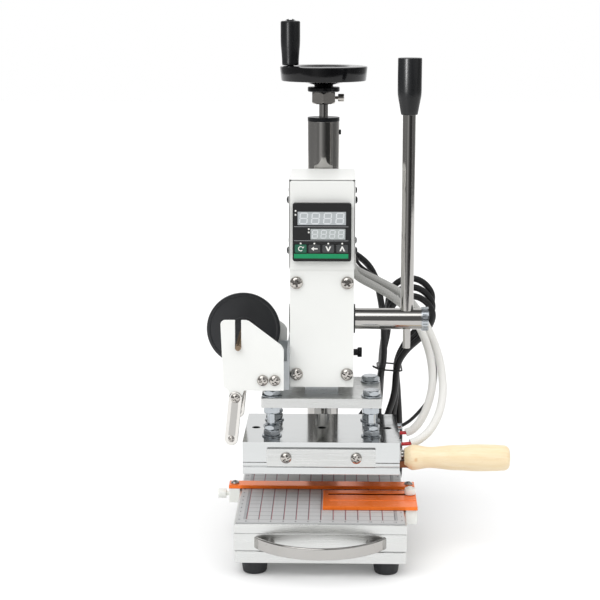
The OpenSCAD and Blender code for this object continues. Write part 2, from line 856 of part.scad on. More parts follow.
// Pin with a slotted, domed head on top of the grip
module crank_pin() {
    head_d = 9.4;
    head_h = 1.6;
    slot_w = 3;
    slot_t = 1;
    head_z0 = rim_top + crank_l + 2 * pass_gap;
    color("silver") difference() {
        union() {
            rod_z([-crank_r, column_y, rim_z], pin_d, head_z0 - rim_z + past / 2);
            translate([-crank_r, column_y, head_z0]) pan_head(head_d, head_h);
        }
        block([-crank_r - slot_w / 2, column_y - head_d, head_z0 + head_h - slot_t],
            [-crank_r + slot_w / 2, column_y + head_d, head_z0 + head_h + past]);
    }
}

module crank_grip() {
    foot_r = crank_d / 2 - 1.2;
    edge = 1;
    keys = [[edge, foot_r], [crank_l * 0.6, crank_d / 2], [crank_l - edge, crank_d / 2]];
    steps = 16;
    color("#232326") translate([-crank_r, column_y, rim_top + pass_gap]) difference() {
        rotate_extrude() polygon(concat([[0, 0], [foot_r - edge / 2, 0]],
            [for (i = [0:steps]) let (z = edge + (crank_l - 2 * edge) * i / steps) [eased(keys, z), z]],
            [[crank_d / 2 - edge, crank_l], [0, crank_l]]));
        translate([0, 0, -past]) cylinder(d = pin_d + 2 * run, h = crank_l + 2 * past);
    }
}

// Lever, pinion shaft and ram

// Half the angle of a pinion tooth at a radius, with involute flanks
function roll_angle(base, r) = let (a = acos(min(1, base / r))) tan(a) * 180 / PI - a;
function tooth_angle(r) = let (base = pinion_r * cos(pressure_angle))
    90 / pinion_teeth - tooth_play / 2 / pinion_r * 180 / PI + roll_angle(base, pinion_r) - roll_angle(base, r);
function polar(r, a) = [r * cos(a), r * sin(a)];

module pinion_outline() {
    radii = [for (k = [-1.25, -0.55, -0.2, 0.2, 0.6, 0.95]) pinion_r + k * tooth_m];
    last = len(radii) - 1;
    polygon([for (t = [0:pinion_teeth - 1], k = [0:2 * last + 1])
        let (middle = (t + 0.5) * 360 / pinion_teeth, side = k > last ? 1 : -1,
            r = radii[k > last ? 2 * last + 1 - k : k])
            polar(r, middle + side * tooth_angle(r))]);
}

module pinion_shaft() {
    color("lightgray") difference() {
        union() {
            rod_x([-head_w / 2, shaft_y, shaft_z], shaft_d, head_w / 2 - pinion_w / 2);
            bar_yz(-pinion_w / 2, pinion_w) translate([shaft_y, shaft_z]) pinion_outline();
            rod_x([pinion_w / 2, shaft_y, shaft_z], shaft_d, shaft_end - pinion_w / 2);
        }
        rod_z([lever_x, shaft_y, shaft_z - shaft_d], spigot_d + 2 * run, 2 * shaft_d);
        rod_z([lever_x, shaft_y, shaft_z + shaft_d / 2 - lever_seat], lever_d + 2 * run, lever_seat + past);
    }
}

module shaft_end_cap() {
    notch = 1.2;
    notches = 24;
    cap_d = shaft_d + 2.5;
    color("silver") difference() {
        rod_x([shaft_end, shaft_y, shaft_z], cap_d, end_cap_t);
        for (k = [0:notches - 1]) {
            a = 360 * k / notches;
            rod_x([shaft_end + 1, shaft_y + cap_d / 2 * cos(a), shaft_z + cap_d / 2 * sin(a)], notch, end_cap_t - 2);
        }
    }
}

// Rod that seats in the shaft's top, with a spigot through the shaft
module lever_rod() {
    spigot_l = 25.5;
    foot_z = shaft_z + shaft_d / 2 - lever_seat + slide_gap;
    color("lightgray") {
        rod_z([lever_x, shaft_y, foot_z], lever_d, shaft_z + lever_l - grip_l + grip_hold - foot_z);
        rod_z([lever_x, shaft_y, shaft_z - spigot_l], spigot_d, foot_z + past - shaft_z + spigot_l);
    }
}

module lever_grip() {
    foot_r = lever_d / 2 + 1.6;
    taper_l = 17.5;
    bend = 2;
    edge = 0.8;
    color("#232326") translate([lever_x, shaft_y, shaft_z + lever_l - grip_l]) difference() {
        rotate_extrude() polygon([[0, 0], [foot_r - edge, 0], [foot_r, edge], [grip_d / 2 - 0.4, taper_l - bend],
            [grip_d / 2, taper_l + bend], [grip_d / 2, grip_l - edge], [grip_d / 2 - edge, grip_l], [0, grip_l]]);
        translate([0, 0, -past]) cylinder(d = lever_d + 2 * run, h = grip_hold + 2 * past);
    }
}

module rack_gap() {
    root = 1.25 * tooth_m;
    flank = tan(pressure_angle);
    half = tooth_pitch / 4 + tooth_play / 2;
    line = ram_back - tooth_m;
    polygon([[line - root, -half + root * flank], [ram_back + past, -half - (tooth_m + past) * flank],
        [ram_back + past, half + (tooth_m + past) * flank], [line - root, half - root * flank]]);
}

module ram() {
    teeth_up = floor((ram_top - shaft_z) / tooth_pitch - 0.5);
    color("silver") difference() {
        block([-ram_w / 2, ram_y - ram_d / 2, plate_top], [ram_w / 2, ram_back, ram_top]);
        for (k = [-4:teeth_up - 1])
            bar_yz(-pinion_w / 2, pinion_w) translate([0, shaft_z + (k + 0.5) * tooth_pitch]) rack_gap();
    }
}

// Extension spring that lifts the ram
module return_spring() {
    coil_r = 6;
    wire = 1.6;
    turns = 6;
    rise = spring_h - wire - 2 * slide_gap;
    rings = turns * 8;
    path = [for (i = [0:rings])
        [coil_r * cos(360 * i / 8), ram_y + coil_r * sin(360 * i / 8),
            ram_top + slide_gap + wire / 2 + rise * i / rings]];
    echo(return_spring_gap = self_gap(path, wire, 5));
    color("dimgray") tube(path, wire, 6);
}

// Press plate, heated block and die drawer

module at_hangers() {
    for (x = [-hanger_x, hanger_x], y = hanger_ys) translate([x, y, 0]) children();
}

module press_plate() {
    color("gainsboro") difference() {
        translate([0, 0, plate_z]) linear_extrude(plate_t)
            round_rect([-plate_w / 2, plate_y], [plate_w / 2, plate_y + plate_d], 1);
        at_hangers() rod_z([0, 0, plate_z - past], hanger_d + 0.4, plate_t + 2 * past);
    }
}

module hanger_bolts() {
    bore = hanger_d + 0.2;
    color("darkgray") at_hangers() {
        hex_z([0, 0, plate_top], hex_af, nut_t - 1);
        rod_z([0, 0, block_top - bolt_sink], hanger_d, plate_top + past - block_top + bolt_sink);
        for (n = [[plate_z - nut_t, nut_t], [block_top, nut_t + 4]]) difference() {
            hex_z([0, 0, n[0]], hex_af, n[1]);
            rod_z([0, 0, n[0] - past], bore, n[1] + 2 * past);
        }
    }
}

module heat_block() {
    hole_d = 7;
    hole_sink = 10;
    clamp_x = block_w / 2 - 16.5;
    color("gainsboro") difference() {
        block([-block_w / 2, block_y, block_z], [block_w / 2, block_back, block_top]);
        at_hangers() rod_z([0, 0, block_top - bolt_sink - 0.5], hanger_d + 0.2, bolt_sink + past);
        for (x = [-block_w / 2 + 9, 0, block_w / 2 - 9])
            rod_z([x, ram_y + 4, block_top - hole_sink], hole_d, hole_sink + past);
        for (y = heater_ys) {
            rod_x([-block_w / 2 + heater_blind - past, y, heater_z], heater_d + 2 * run, block_w);
            rod_z([clamp_x, y, heater_z], 4, block_t);
        }
    }
}

module heater_cartridges() {
    color("lightgray") for (y = heater_ys)
        rod_x([-block_w / 2 + heater_blind, y, heater_z], heater_d, block_w - heater_blind + heater_out);
}

module front_strip() {
    strip_z = block_z - 3;
    color("gainsboro") difference() {
        plate_xz(block_y - strip_t, strip_t)
            round_rect([-strip_w / 2, strip_z], [strip_w / 2, strip_z + strip_h], 1);
        for (x = [-strip_screw_x, strip_screw_x])
            rod_y([x, block_y - strip_t - past, strip_z + strip_h / 2], 4.5, strip_t + 2 * past);
    }
}

module drawer_rails() {
    color("gainsboro") {
        block([-block_w / 2, block_y, drawer_z], [block_w / 2, block_y + rail_web, block_z]);
        block([-block_w / 2, block_y, drawer_z], [block_w / 2, block_y + rail_web + rail_lip, drawer_z + lip_t]);
        block([-block_w / 2, block_back - rail_web, drawer_z], [block_w / 2, block_back, block_z]);
        block([-block_w / 2, block_back - rail_web - rail_lip, drawer_z],
            [block_w / 2, block_back, drawer_z + lip_t]);
    }
}

module die_plate() {
    front = block_y + rail_web + pass_gap;
    back = block_back - rail_web - pass_gap;
    color("silver") {
        block([-die_w / 2, front, drawer_z + lip_t], [die_w / 2, back, block_z - pass_gap]);
        block([-die_w / 2 + 8, front + rail_lip, die_z], [die_w / 2 - 8, back - rail_lip, drawer_z + lip_t + past]);
    }
}

module drawer_tongue() {
    lug_t = 1.5;
    lug_w = 8;
    lug_x = block_w / 2 + pass_gap;
    color("saddlebrown") {
        block([die_w / 2, wood_y - tongue_w / 2, tongue_z],
            [wood_x + tongue_in, wood_y + tongue_w / 2, tongue_z + tongue_h]);
        block([lug_x, wood_y - lug_w / 2, tongue_z], [lug_x + lug_t, wood_y + lug_w / 2, tongue_pin_z + 4.5]);
        rod_x([lug_x, wood_y, tongue_pin_z], tongue_pin_d, wood_x + tongue_in - past - lug_x);
    }
}

// Turned handle, pushed over the tongue and its pin
module wood_handle() {
    r = wood_d / 2;
    steps = 32;
    keys = [[0, r - 3.5], [wood_l * 0.08, r - 0.6], [wood_l * 0.24, r - 2.2], [wood_l * 0.66, r],
        [wood_l * 0.88, r - 1.4], [wood_l * 0.97, r - 5], [wood_l, r - 8]];
    fit = 0.2;
    color("wheat") difference() {
        translate([wood_x, wood_y, wood_z]) rotate([0, 90, 0]) rotate_extrude() polygon(concat([[0, 0]],
            [for (i = [0:steps]) let (z = wood_l * i / steps) [eased(keys, z), z]], [[0, wood_l]]));
        block([wood_x - past, wood_y - tongue_w / 2 - fit, tongue_z - fit],
            [wood_x + tongue_in + fit, wood_y + tongue_w / 2 + fit, tongue_z + tongue_h + fit]);
        rod_x([wood_x - past, wood_y, tongue_pin_z], tongue_pin_d + 2 * fit, tongue_in + past);
    }
}

// Foil holder on the left of the head

module foil_bracket() {
    bend = 2;
    foot_z = head_z + 1;
    side_top = foil_z - 1;
    color("lightgray") {
        block([-head_w / 2 - bend, foil_front + foil_plate_t, foot_z],
            [-head_w / 2, foil_back, side_top]);
        for (y = [foil_front + foil_plate_t, foil_back - bend])
            block([-head_w / 2 - 30, y, foot_z], [-head_w / 2, y + bend, foot_z + 24]);
    }
}

module foil_plate_outline() {
    top = foil_z + 22.5;
    shoulder = foil_z + 1.5;
    bottom = head_z + 0.6;
    slot_w = foil_axle_d + 0.1;
    difference() {
        union() {
            polygon([[-foil_out, top - 4], [-foil_out + 4, top], [-foil_x + 6.5, top], [-foil_x + 9, top - 0.8],
                [-foil_in - 2, shoulder], [-foil_in, shoulder - 3.5], [-foil_in, bottom], [-arm_x + 7, bottom],
                [-arm_x + 5, arm_z], [-arm_x - 5, arm_z], [-arm_x - 6, bottom], [-foil_out + 2, bottom + 3]]);
            translate([-foil_out + 4, top - 4]) circle(4);
            translate([-arm_x, arm_z]) circle(arm_w / 2);
        }
        translate([-foil_x, foil_z]) circle(d = slot_w);
        translate([-foil_x - slot_w / 2, foil_z]) square([slot_w, 2 * foil_up]);
    }
}

module foil_plates() {
    color("white") {
        plate_xz(foil_front, foil_plate_t) foil_plate_outline();
        plate_xz(foil_back, foil_plate_t) foil_plate_outline();
    }
}

// Polished arms that hang the foil's guide rod beside the heated block
module foil_guide() {
    arm_t = 2;
    rod_d = 5;
    foot = [-arm_x - arm_l * sin(arm_tilt), arm_z - arm_l * cos(arm_tilt)];
    color("lightgray") {
        for (y = [foil_front - arm_t, foil_back + foil_plate_t]) plate_xz(y, arm_t) {
            translate([-arm_x, arm_z]) {
                circle(arm_w / 2);
                rotate(-arm_tilt) translate([-arm_w / 2, -arm_l]) square([arm_w, arm_l]);
            }
            translate(foot) circle(arm_w / 2);
        }
        rod_y([foot.x, foil_front - arm_t, foot.y], rod_d, foil_span + foil_plate_t + 2 * arm_t);
    }
}

disc_y = foil_back - 14;
disc_t = 3;

module foil_axle() {
    end = 5;
    color("tan") rod_y([-foil_x, foil_front - end, foil_z], foil_axle_d, foil_span + foil_plate_t + 2 * end);
}

module foil_disc() {
    hub_l = 9;
    rim = 3;
    color("#26262a") difference() {
        union() {
            rod_y([-foil_x, disc_y, foil_z], foil_disc_d, disc_t);
            rod_y([-foil_x, disc_y, foil_z], 16, hub_l);
        }
        rod_y([-foil_x, disc_y - past, foil_z], foil_axle_d + 2 * run, hub_l + 2 * past);
        rod_y([-foil_x, disc_y - past, foil_z], foil_disc_d - 2 * rim, past + 0.5);
    }
}

// Leads and the power cord

module heater_leads() {
    color("white") for (p = lead_points) tube(p, sleeve_d, 8);
}

module sensor_lead() {
    color("#202022") tube(sensor_points, sensor_d, 8);
}

// A hank of loops drawn in at the waist, each climbing one step on its way up
function ease(f) = (1 - cos(180 * max(0, min(1, f)))) / 2;
hank_low = hank_bottom + hank_bottom_r;
// The turn of the hank counts from 0 at its first left run and grows along the cord
function hank_high(turn) = hank_top - hank_top_r - hank_drop * (hank_loops - turn);
function above_waist(z, turn) = ease((z - hank_waist_z) / (hank_high(turn) - hank_waist_z));
function below_waist(z) = ease((hank_waist_z - z) / (hank_waist_z - hank_low));
function hank_middle(z, turn) = hank_x + hank_lean * above_waist(z, turn)
    + (hank_foot + hank_fan * turn) * below_waist(z);
function hank_half(z, turn) = hank_waist_r + (hank_top_r - hank_waist_r) * above_waist(z, turn)
    + (hank_bottom_r - hank_waist_r) * below_waist(z);
function turn_y(turn) = hank_y + turn * hank_step;
function hank_point(side, z, turn) = [hank_middle(z, turn) + side * hank_half(z, turn), turn_y(turn), z];
function run_z(i, turn) = i < 3 ? hank_high(turn) - (hank_high(turn) - hank_waist_z) * i / 3
    : hank_waist_z - (hank_waist_z - hank_low) * (i - 3) / 4;
function run_point(side, i, turn) = hank_point(side, run_z(i, turn), turn);
function fold_point(z, turn, r, a) = [hank_middle(z, turn) + r * cos(a), turn_y(turn), z + r * sin(a)];
// The cord joins the first loop part of the way down its left run
first_run = 2;
function loop_points(k) = concat(
    [for (i = [k == 0 ? first_run : 0:6]) run_point(-1, i, k)],
    [for (a = [180:36:324]) fold_point(hank_low, k, hank_bottom_r, a)],
    [for (i = [7:-1:1]) run_point(1, i, k + 1 - ease(i / 7))],
    [for (a = [0:36:144]) fold_point(hank_high(k + 1), k + 1, hank_top_r, a)]);
tail_y = turn_y(hank_loops);
tail_high = hank_high(hank_loops);
tail_points = [for (i = [0:6]) let (z = tail_high + (tail_z - tail_high) * i / 6)
    hank_point(-1, z, hank_loops) + [0, tail_back * ease((hank_waist_z - 8 - z) / 30), 0]];
tail_end = tail_points[6];
cord_join = run_point(-1, first_run, 0) + [0, 0, cord_d];
hank_path = concat(
    [cord_join],
    [for (k = [0:hank_loops - 1]) each loop_points(k)],
    tail_points,
    [tail_end - [0, 0, cord_d]]);

cord_points = concat(
    [[gland_x, box_back + 2, gland_z], [gland_x, box_back + 12, gland_z], [gland_x, box_back + gland_l + 1, gland_z],
     [-18.3, 92.5, 249.5], [-13, 100.6, 248], [-5, 106.2, 245.6], [4.5, 108.2, 242.4], [15, 108, 238.4],
     [25, 107.6, 233.6], [34, 107, 227.8], [41.5, 106.2, 220.5], [46.8, 105.5, 211], [50, 105.2, 200],
     [52.4, 105, 188], [54.2, 105, 176], [55.2, 105, 166]],
    [cord_join + [0, 0, cord_d], cord_join]);

module power_cord() {
    color("#202022") tube(cord_points, cord_d, 8);
}

module cord_hank() {
    echo(cord_hank_gap = self_gap(hank_path, cord_d, 6));
    color("#202022") tube(hank_path, cord_d, 6);
}

module cord_tie() {
    band = 1.2;
    band_h = 2.5;
    knot = 3;
    room = cord_d / 2 + 0.5;
    x = [hank_x - hank_waist_r - room, hank_x + hank_waist_r + room];
    y = [hank_y - room, tail_y + room];
    color("#151517") translate([0, 0, hank_waist_z - band_h]) linear_extrude(band_h) difference() {
        union() {
            round_rect([x[0] - band, y[0] - band], [x[1] + band, y[1] + band], 3 + band);
            translate([x[0] - band - knot, y[0] + band]) square([knot + band / 2, knot]);
        }
        round_rect([x[0], y[0]], [x[1], y[1]], 3);
    }
}

module power_plug() {
    body_l = 36;
    relief_l = 12;
    pin_l = 15;
    top = tail_end.z - cord_d;
    color("#202022") translate([tail_end.x, tail_end.y, top]) {
        difference() {
            translate([0, 0, -relief_l]) cylinder(d1 = 11, d2 = cord_d + 2.4, h = relief_l - 0.1);
            translate([0, 0, -2]) cylinder(d = cord_d + 0.4, h = 4);
        }
        translate([0, 0, -relief_l - body_l]) linear_extrude(body_l) round_rect([-12, -7], [12, 7], 5);
        for (s = [-1, 1]) translate([s * 8, 0, -relief_l - body_l - pin_l]) cylinder(d = 4, h = pin_l + past);
    }
}

base_plate();
rubber_feet();
guide_rails();
column();
column_cap();
carriage();
table_plate();
grid_mat();
pull_handle();
long_stop_bar();
long_stop_brackets();
long_stop_knob();
short_stop_bracket();
short_stop_plate();
short_stop_knob();
head_casting();
bushings();
front_cover();
head_screws();
controller_box();
box_rear_panel();
temp_controller();
button_set();
button_shift();
button_down();
button_up();
lead_nut();
column_lock_screw();
cable_grommets();
handwheel();
hex_collar();
lead_screw();
crank_pin();
crank_grip();
pinion_shaft();
shaft_end_cap();
lever_rod();
lever_grip();
ram();
return_spring();
press_plate();
hanger_bolts();
heat_block();
heater_cartridges();
front_strip();
drawer_rails();
die_plate();
drawer_tongue();
wood_handle();
foil_bracket();
foil_plates();
foil_guide();
foil_axle();
foil_disc();
heater_leads();
sensor_lead();
power_cord();
cord_hank();
cord_tie();
power_plug();
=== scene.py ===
# Looks of a bench hot foil stamping press: pieces, finishes, light and camera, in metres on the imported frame.
import json
import math

import bpy
from mathutils import Matrix, Vector


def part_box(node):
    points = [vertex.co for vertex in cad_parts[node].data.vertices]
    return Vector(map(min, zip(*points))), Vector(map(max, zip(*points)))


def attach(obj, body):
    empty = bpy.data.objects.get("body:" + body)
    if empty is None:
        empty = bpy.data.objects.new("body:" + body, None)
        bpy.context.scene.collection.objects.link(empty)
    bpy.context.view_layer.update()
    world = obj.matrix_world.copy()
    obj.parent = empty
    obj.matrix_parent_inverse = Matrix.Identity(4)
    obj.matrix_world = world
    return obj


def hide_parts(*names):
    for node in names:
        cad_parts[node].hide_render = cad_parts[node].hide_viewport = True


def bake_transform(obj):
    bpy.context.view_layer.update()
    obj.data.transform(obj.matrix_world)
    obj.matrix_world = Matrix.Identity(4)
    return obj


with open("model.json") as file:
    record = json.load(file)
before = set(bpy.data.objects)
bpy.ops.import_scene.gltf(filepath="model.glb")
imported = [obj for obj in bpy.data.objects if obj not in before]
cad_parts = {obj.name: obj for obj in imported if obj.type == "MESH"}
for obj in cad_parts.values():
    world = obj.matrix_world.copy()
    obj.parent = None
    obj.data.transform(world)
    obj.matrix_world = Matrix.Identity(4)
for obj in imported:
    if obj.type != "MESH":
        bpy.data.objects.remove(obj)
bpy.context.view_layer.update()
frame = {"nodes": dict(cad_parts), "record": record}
MM = 0.001
UP, FRONT, BACK, RIGHT = (0, 0, 1), (0, -1, 0), (0, 1, 0), (1, 0, 0)
scene = bpy.context.scene
body_of = {node: body for body, nodes in frame["record"]["behaviour"]["bodies"].items() for node in nodes}


# Camera at the photograph's viewing angle
view = bpy.data.cameras.new("view")
view.lens = 94.555
view.sensor_width = 36
view.clip_start = 0.02
view.clip_end = 40
camera = bpy.data.objects.new("camera", view)
camera.location = (0.01387, -1.3065, 0.45565)
camera.rotation_euler = (math.radians(79.311), 0, math.radians(1.429))
scene.collection.objects.link(camera)
scene.camera = camera


# Handling of pieces

def drop_all():
    """Selects nothing."""
    bpy.ops.object.select_all(action="DESELECT")


def take(*pieces):
    """Selects these pieces alone, the first as the active one."""
    drop_all()
    for piece in pieces:
        piece.select_set(True)
    bpy.context.view_layer.objects.active = pieces[0]


def opened(piece):
    """Opens a piece in edit mode with everything selected."""
    take(piece)
    bpy.ops.object.mode_set(mode="EDIT")
    bpy.ops.mesh.select_all(action="SELECT")


def settle(piece, move=Matrix.Identity(4)):
    """Puts a piece's place and turn into its mesh, so that its object sits at the origin."""
    bpy.context.view_layer.update()
    piece.matrix_world = move @ piece.matrix_world
    take(piece)
    bpy.ops.object.transform_apply(location=True, rotation=True, scale=True)
    return piece


def aim(place, direction=UP, turn=0):
    """The move from upright at the origin to a place in mm, pointing along a direction."""
    lean = Vector(UP).rotation_difference(Vector(direction)).to_matrix().to_4x4()
    return Matrix.Translation(Vector(place) * MM) @ lean @ Matrix.Rotation(math.radians(turn), 4, "Z")


def span(node):
    """Lowest and highest corner of a CAD node, in mm."""
    low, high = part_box(node)
    return low / MM, high / MM


def extent(node):
    """Lowest corner, middle and size of a CAD node, in mm."""
    low, high = span(node)
    return low, (low + high) / 2, high - low


def arc(x, y, radius, start, end, step=15):
    """Points on an arc in a plane, its angles in degrees."""
    angles = [math.radians(a) for a in range(start, end + 1, step)]
    return [(x + radius * math.cos(a), y + radius * math.sin(a)) for a in angles]


def smooth(piece, angle=32):
    """Shades a piece smooth, with edges sharper than an angle kept sharp."""
    take(piece)
    bpy.ops.object.shade_smooth_by_angle(angle=math.radians(angle))
    return piece


def ease_edges(piece, width, steps=2, angle=38):
    """Rounds every edge sharper than an angle, and keeps the flats flat."""
    smooth(piece, angle - 3)
    bevel = piece.modifiers.new("edges", "BEVEL")
    bevel.width = width * MM
    bevel.segments = steps
    bevel.limit_method = "ANGLE"
    bevel.angle_limit = math.radians(angle)
    bevel.harden_normals = True
    bpy.ops.object.modifier_apply(modifier=bevel.name)
    return piece


def block(name, low, high, width=0, steps=2):
    """A rectangular piece between two corners in mm, its edges rounded by a width."""
    drop_all()
    centre = [(a + b) / 2 * MM for a, b in zip(low, high)]
    bpy.ops.mesh.primitive_cube_add(size=1, location=centre)
    piece = bpy.context.object
    piece.name = name
    piece.scale = [(b - a) * MM for a, b in zip(low, high)]
    settle(piece)
    return ease_edges(piece, width, steps) if width else piece


def traced(name, points):
    """A line of points in mm, drawn vertex by vertex and left open in edit mode, all selected."""
    drop_all()
    bpy.ops.mesh.primitive_plane_add(size=MM)
    piece = bpy.context.object
    piece.name = name
    bpy.ops.object.mode_set(mode="EDIT")
    bpy.ops.mesh.select_mode(type="VERT")
    bpy.ops.mesh.select_all(action="SELECT")
    bpy.ops.mesh.merge(type="CENTER")
    bpy.ops.transform.translate(value=Vector(points[0]) * MM)
    for a, b in zip(points, points[1:]):
        step = (Vector(b) - Vector(a)) * MM
        bpy.ops.mesh.extrude_vertices_move(TRANSFORM_OT_translate={"value": step})
    bpy.ops.mesh.select_all(action="SELECT")
    return piece


def turned(name, outline, place=(0, 0, 0), direction=UP, steps=64):
    """An outline of radius and height in mm, turned about its axis as on a lathe."""
    piece = traced(name, [(radius, 0, height) for radius, height in outline])
    bpy.ops.mesh.spin(steps=steps, angle=2 * math.pi, center=(0, 0, 0), axis=UP)
    bpy.ops.mesh.select_all(action="SELECT")
    bpy.ops.mesh.remove_doubles(threshold=0.004 * MM)
    bpy.ops.mesh.normals_make_consistent(inside=False)
    bpy.ops.object.mode_set(mode="OBJECT")
    smooth(piece)
    return settle(piece, aim(place, direction))


def plate(name, outline, y, thickness):
    """A flat outline of X and Z in mm whose front face lies at a depth y."""
    piece = traced(name, [(x, y + thickness, z) for x, z in outline])
    bpy.ops.mesh.edge_face_add()
    bpy.ops.mesh.extrude_region_move(TRANSFORM_OT_translate={"value": (0, -thickness * MM, 0)})
    bpy.ops.mesh.select_all(action="SELECT")
    bpy.ops.mesh.normals_make_consistent(inside=False)
    bpy.ops.object.mode_set(mode="OBJECT")
    return piece


def twin_of(piece, name):
    """A copy with its own mesh."""
    twin = piece.copy()
    twin.data = piece.data.copy()
    twin.name = name
    scene.collection.objects.link(twin)
    return twin


def joined(name, pieces):
    """Several pieces as one."""
    take(*pieces)
    if len(pieces) > 1:
        bpy.ops.object.join()
    pieces[0].name = name
    return pieces[0]


def placed(name, model, moves):
    """Copies of a model at several places, as one piece; the model itself goes."""
    piece = joined(name, [settle(twin_of(model, name), move) for move in moves])
    bpy.data.objects.remove(model)
    return piece


def cut(piece, tool, kind="DIFFERENCE"):
    """Cuts a tool's shape out of a piece, or keeps what they share."""
    take(piece)
    change = piece.modifiers.new("cut", "BOOLEAN")
    change.operation = kind
    change.solver = "EXACT"
    change.object = tool
    bpy.ops.object.modifier_apply(modifier=change.name)
    bpy.data.objects.remove(tool)
    return smooth(piece)


def eased_copy(node, width, cuts=()):
    """A copy of a CAD node with more cut away and its sharp edges rounded."""
    piece = twin_of(frame["nodes"][node], node + "_eased")
    piece.parent = None
    for key in list(piece.keys()):
        del piece[key]
    opened(piece)
    bpy.ops.mesh.customdata_custom_splitnormals_clear()
    bpy.ops.mesh.remove_doubles(threshold=0.002 * MM)
    bpy.ops.object.mode_set(mode="OBJECT")
    for tool in cuts:
        cut(piece, tool)
    opened(piece)
    bpy.ops.mesh.dissolve_limited(angle_limit=math.radians(0.5))
    bpy.ops.object.mode_set(mode="OBJECT")
    return ease_edges(piece, width)


def dress(piece, finish, body, slot, *nodes):
    """Gives a piece its finish, the body it rides on and the nodes it stands for."""
    piece.data.materials.clear()
    piece.data.materials.append(finish)
    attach(piece, body)
    if nodes:
        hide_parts(*nodes)
    return piece


def lathe(name, node, outline, direction, steps, finish, slot):
    """A turned piece on a CAD node's own axis, dressed in that node's stead."""
    low, mid = extent(node)[:2]
    place = [a if along else m for a, m, along in zip(low, mid, direction)]
    return dress(turned(name, outline, place, direction, steps), finish, body_of[node], slot, node)


def eased(keys, at):
    """A curve through key points of distance and radius."""
    for (x0, y0), (x1, y1) in zip(keys, keys[1:]):
        if at <= x1:
            return y0 + (y1 - y0) * (1 - math.cos(math.pi * (at - x0) / (x1 - x0))) / 2
    return keys[-1][1]


def threads(radius, start, end, pitch, depth):
    """The outline of a threaded stretch, as ridges."""
    count = max(1, round((end - start) / pitch))
    step = (end - start) / count
    ridges = []
    for i in range(count):
        ridges += [(radius - depth, start + step * i), (radius, start + step * (i + 0.5))]
    return ridges + [(radius - depth, end)]


# Finishes

def linear(colour):
    """An sRGB hex value as linear colour."""
    parts = [int(colour[i:i + 2], 16) / 255 for i in (1, 3, 5)]
    return [c / 12.92 if c <= 0.04045 else ((c + 0.055) / 1.055) ** 2.4 for c in parts] + [1]


def fill(node, links):
    """Gives a node's inputs a value, a hex colour, an output, or a node whose first output in use counts."""
    for name, value in links.items():
        if isinstance(value, bpy.types.Node):
            value = next(socket for socket in value.outputs if socket.enabled)
        if isinstance(value, bpy.types.NodeSocket):
            node.id_data.links.new(value, node.inputs[name])
        else:
            node.inputs[name].default_value = linear(value) if isinstance(value, str) else value


def add(tree, kind, links=None, **settings):
    """Adds a node with its settings and links."""
    made = tree.nodes.new("ShaderNode" + kind)
    for name, value in settings.items():
        setattr(made, name, value)
    fill(made, links or {})
    return made


def begun(name, colour, roughness, metallic=0.0):
    """A material, its node tree, its shader and the object's own coordinates."""
    finish = bpy.data.materials.new(name)
    finish.use_nodes = True
    tree = finish.node_tree
    shader = tree.nodes["Principled BSDF"]
    fill(shader, {"Base Color": colour, "Roughness": roughness, "Metallic": metallic})
    return finish, tree, shader, add(tree, "TexCoord").outputs["Object"]


def tuned(finish, links):
    """Fills a finish's shader inputs."""
    fill(finish.node_tree.nodes["Principled BSDF"], links)


def speckled(name, colours, grain, roughness, height=0.0, metallic=0.0, stretch=(1, 1, 1), patch=40):
    """A material whose colour drifts in patches and whose gloss and surface vary with a grain, both in mm."""
    finish, tree, shader, place = begun(name, colours[0], roughness[0], metallic)
    lie = add(tree, "Mapping", {"Vector": place, "Scale": stretch})
    drift = add(tree, "TexNoise", {"Vector": lie, "Scale": 1 / (patch * MM), "Detail": 3.0})
    colour = add(tree, "Mix", {0: drift, 6: colours[0], 7: colours[1]}, data_type="RGBA")
    fine = add(tree, "TexNoise", {"Vector": lie, "Scale": 1 / (grain * MM), "Detail": 4.0})
    gloss = add(tree, "MapRange", {0: fine, 1: 0.3, 2: 0.7, 3: roughness[0], 4: roughness[1]})
    fill(shader, {"Base Color": colour, "Roughness": gloss})
    if height:
        bump = add(tree, "Bump", {"Height": fine, "Strength": 0.5, "Distance": height * MM})
        fill(shader, {"Normal": bump})
    return finish


# Powder-coated steel and casting: a faint orange peel, drawn coarser than real so that it shows
white_paint = speckled("white_powder_coat", ("#F1F2EF", "#EAEBE8"), 1.4, (0.34, 0.46), 0.02)
# Milled aluminium: cutter lines along X that spread the highlights
milled = speckled("milled_aluminium", ("#D7D8D7", "#E2E3E1"), 0.7, (0.24, 0.38), 0.006, 1.0, (0.02, 1, 1), 12)
# Polished aluminium block: nearly a mirror, with faint wiping marks
polished = speckled("polished_aluminium", ("#CCCECE", "#D8DADA"), 0.9, (0.07, 0.16), 0, 1.0, (0.1, 1, 1), 25)
# Hard chrome on ground steel: a clean mirror with a trace of grinding rings
chrome = speckled("hard_chrome", ("#AFADAA", "#BFBDBA"), 0.8, (0.04, 0.12), 0.0, 1.0, (1, 1, 0.3), 30)
# Zinc-plated steel fasteners: bluish white, softly mottled
zinc = speckled("zinc_plate", ("#A9AEB3", "#C4C9CD"), 0.9, (0.12, 0.24), 0.004, 1.0, patch=3)
# Nickel-plated screw heads, a warm mirror, and a lighter copy of it for the arms, whose extra brightness is a
# painted reflection
nickel = speckled("warm_nickel", ("#B4B0AB", "#C8C4BF"), 0.7, (0.05, 0.12), 0.0, 1.0, patch=4)
nickel_painted_bright = speckled("nickel_painted_bright", ("#D9D6D2", "#E6E4E0"), 0.7, (0.05, 0.12), 0.0, 1.0, patch=4)
# Reel rod: oiled steel gone brown
oiled = speckled("oiled_steel", ("#8A7763", "#A6937E"), 0.5, (0.16, 0.28), 0.002, 1.0, patch=4)
# Ground steel of rails, ram and heaters
steel = speckled("ground_steel", ("#AEB2B5", "#C2C5C7"), 0.6, (0.24, 0.36), 0.003, 1.0, (1, 0.05, 1), 15)
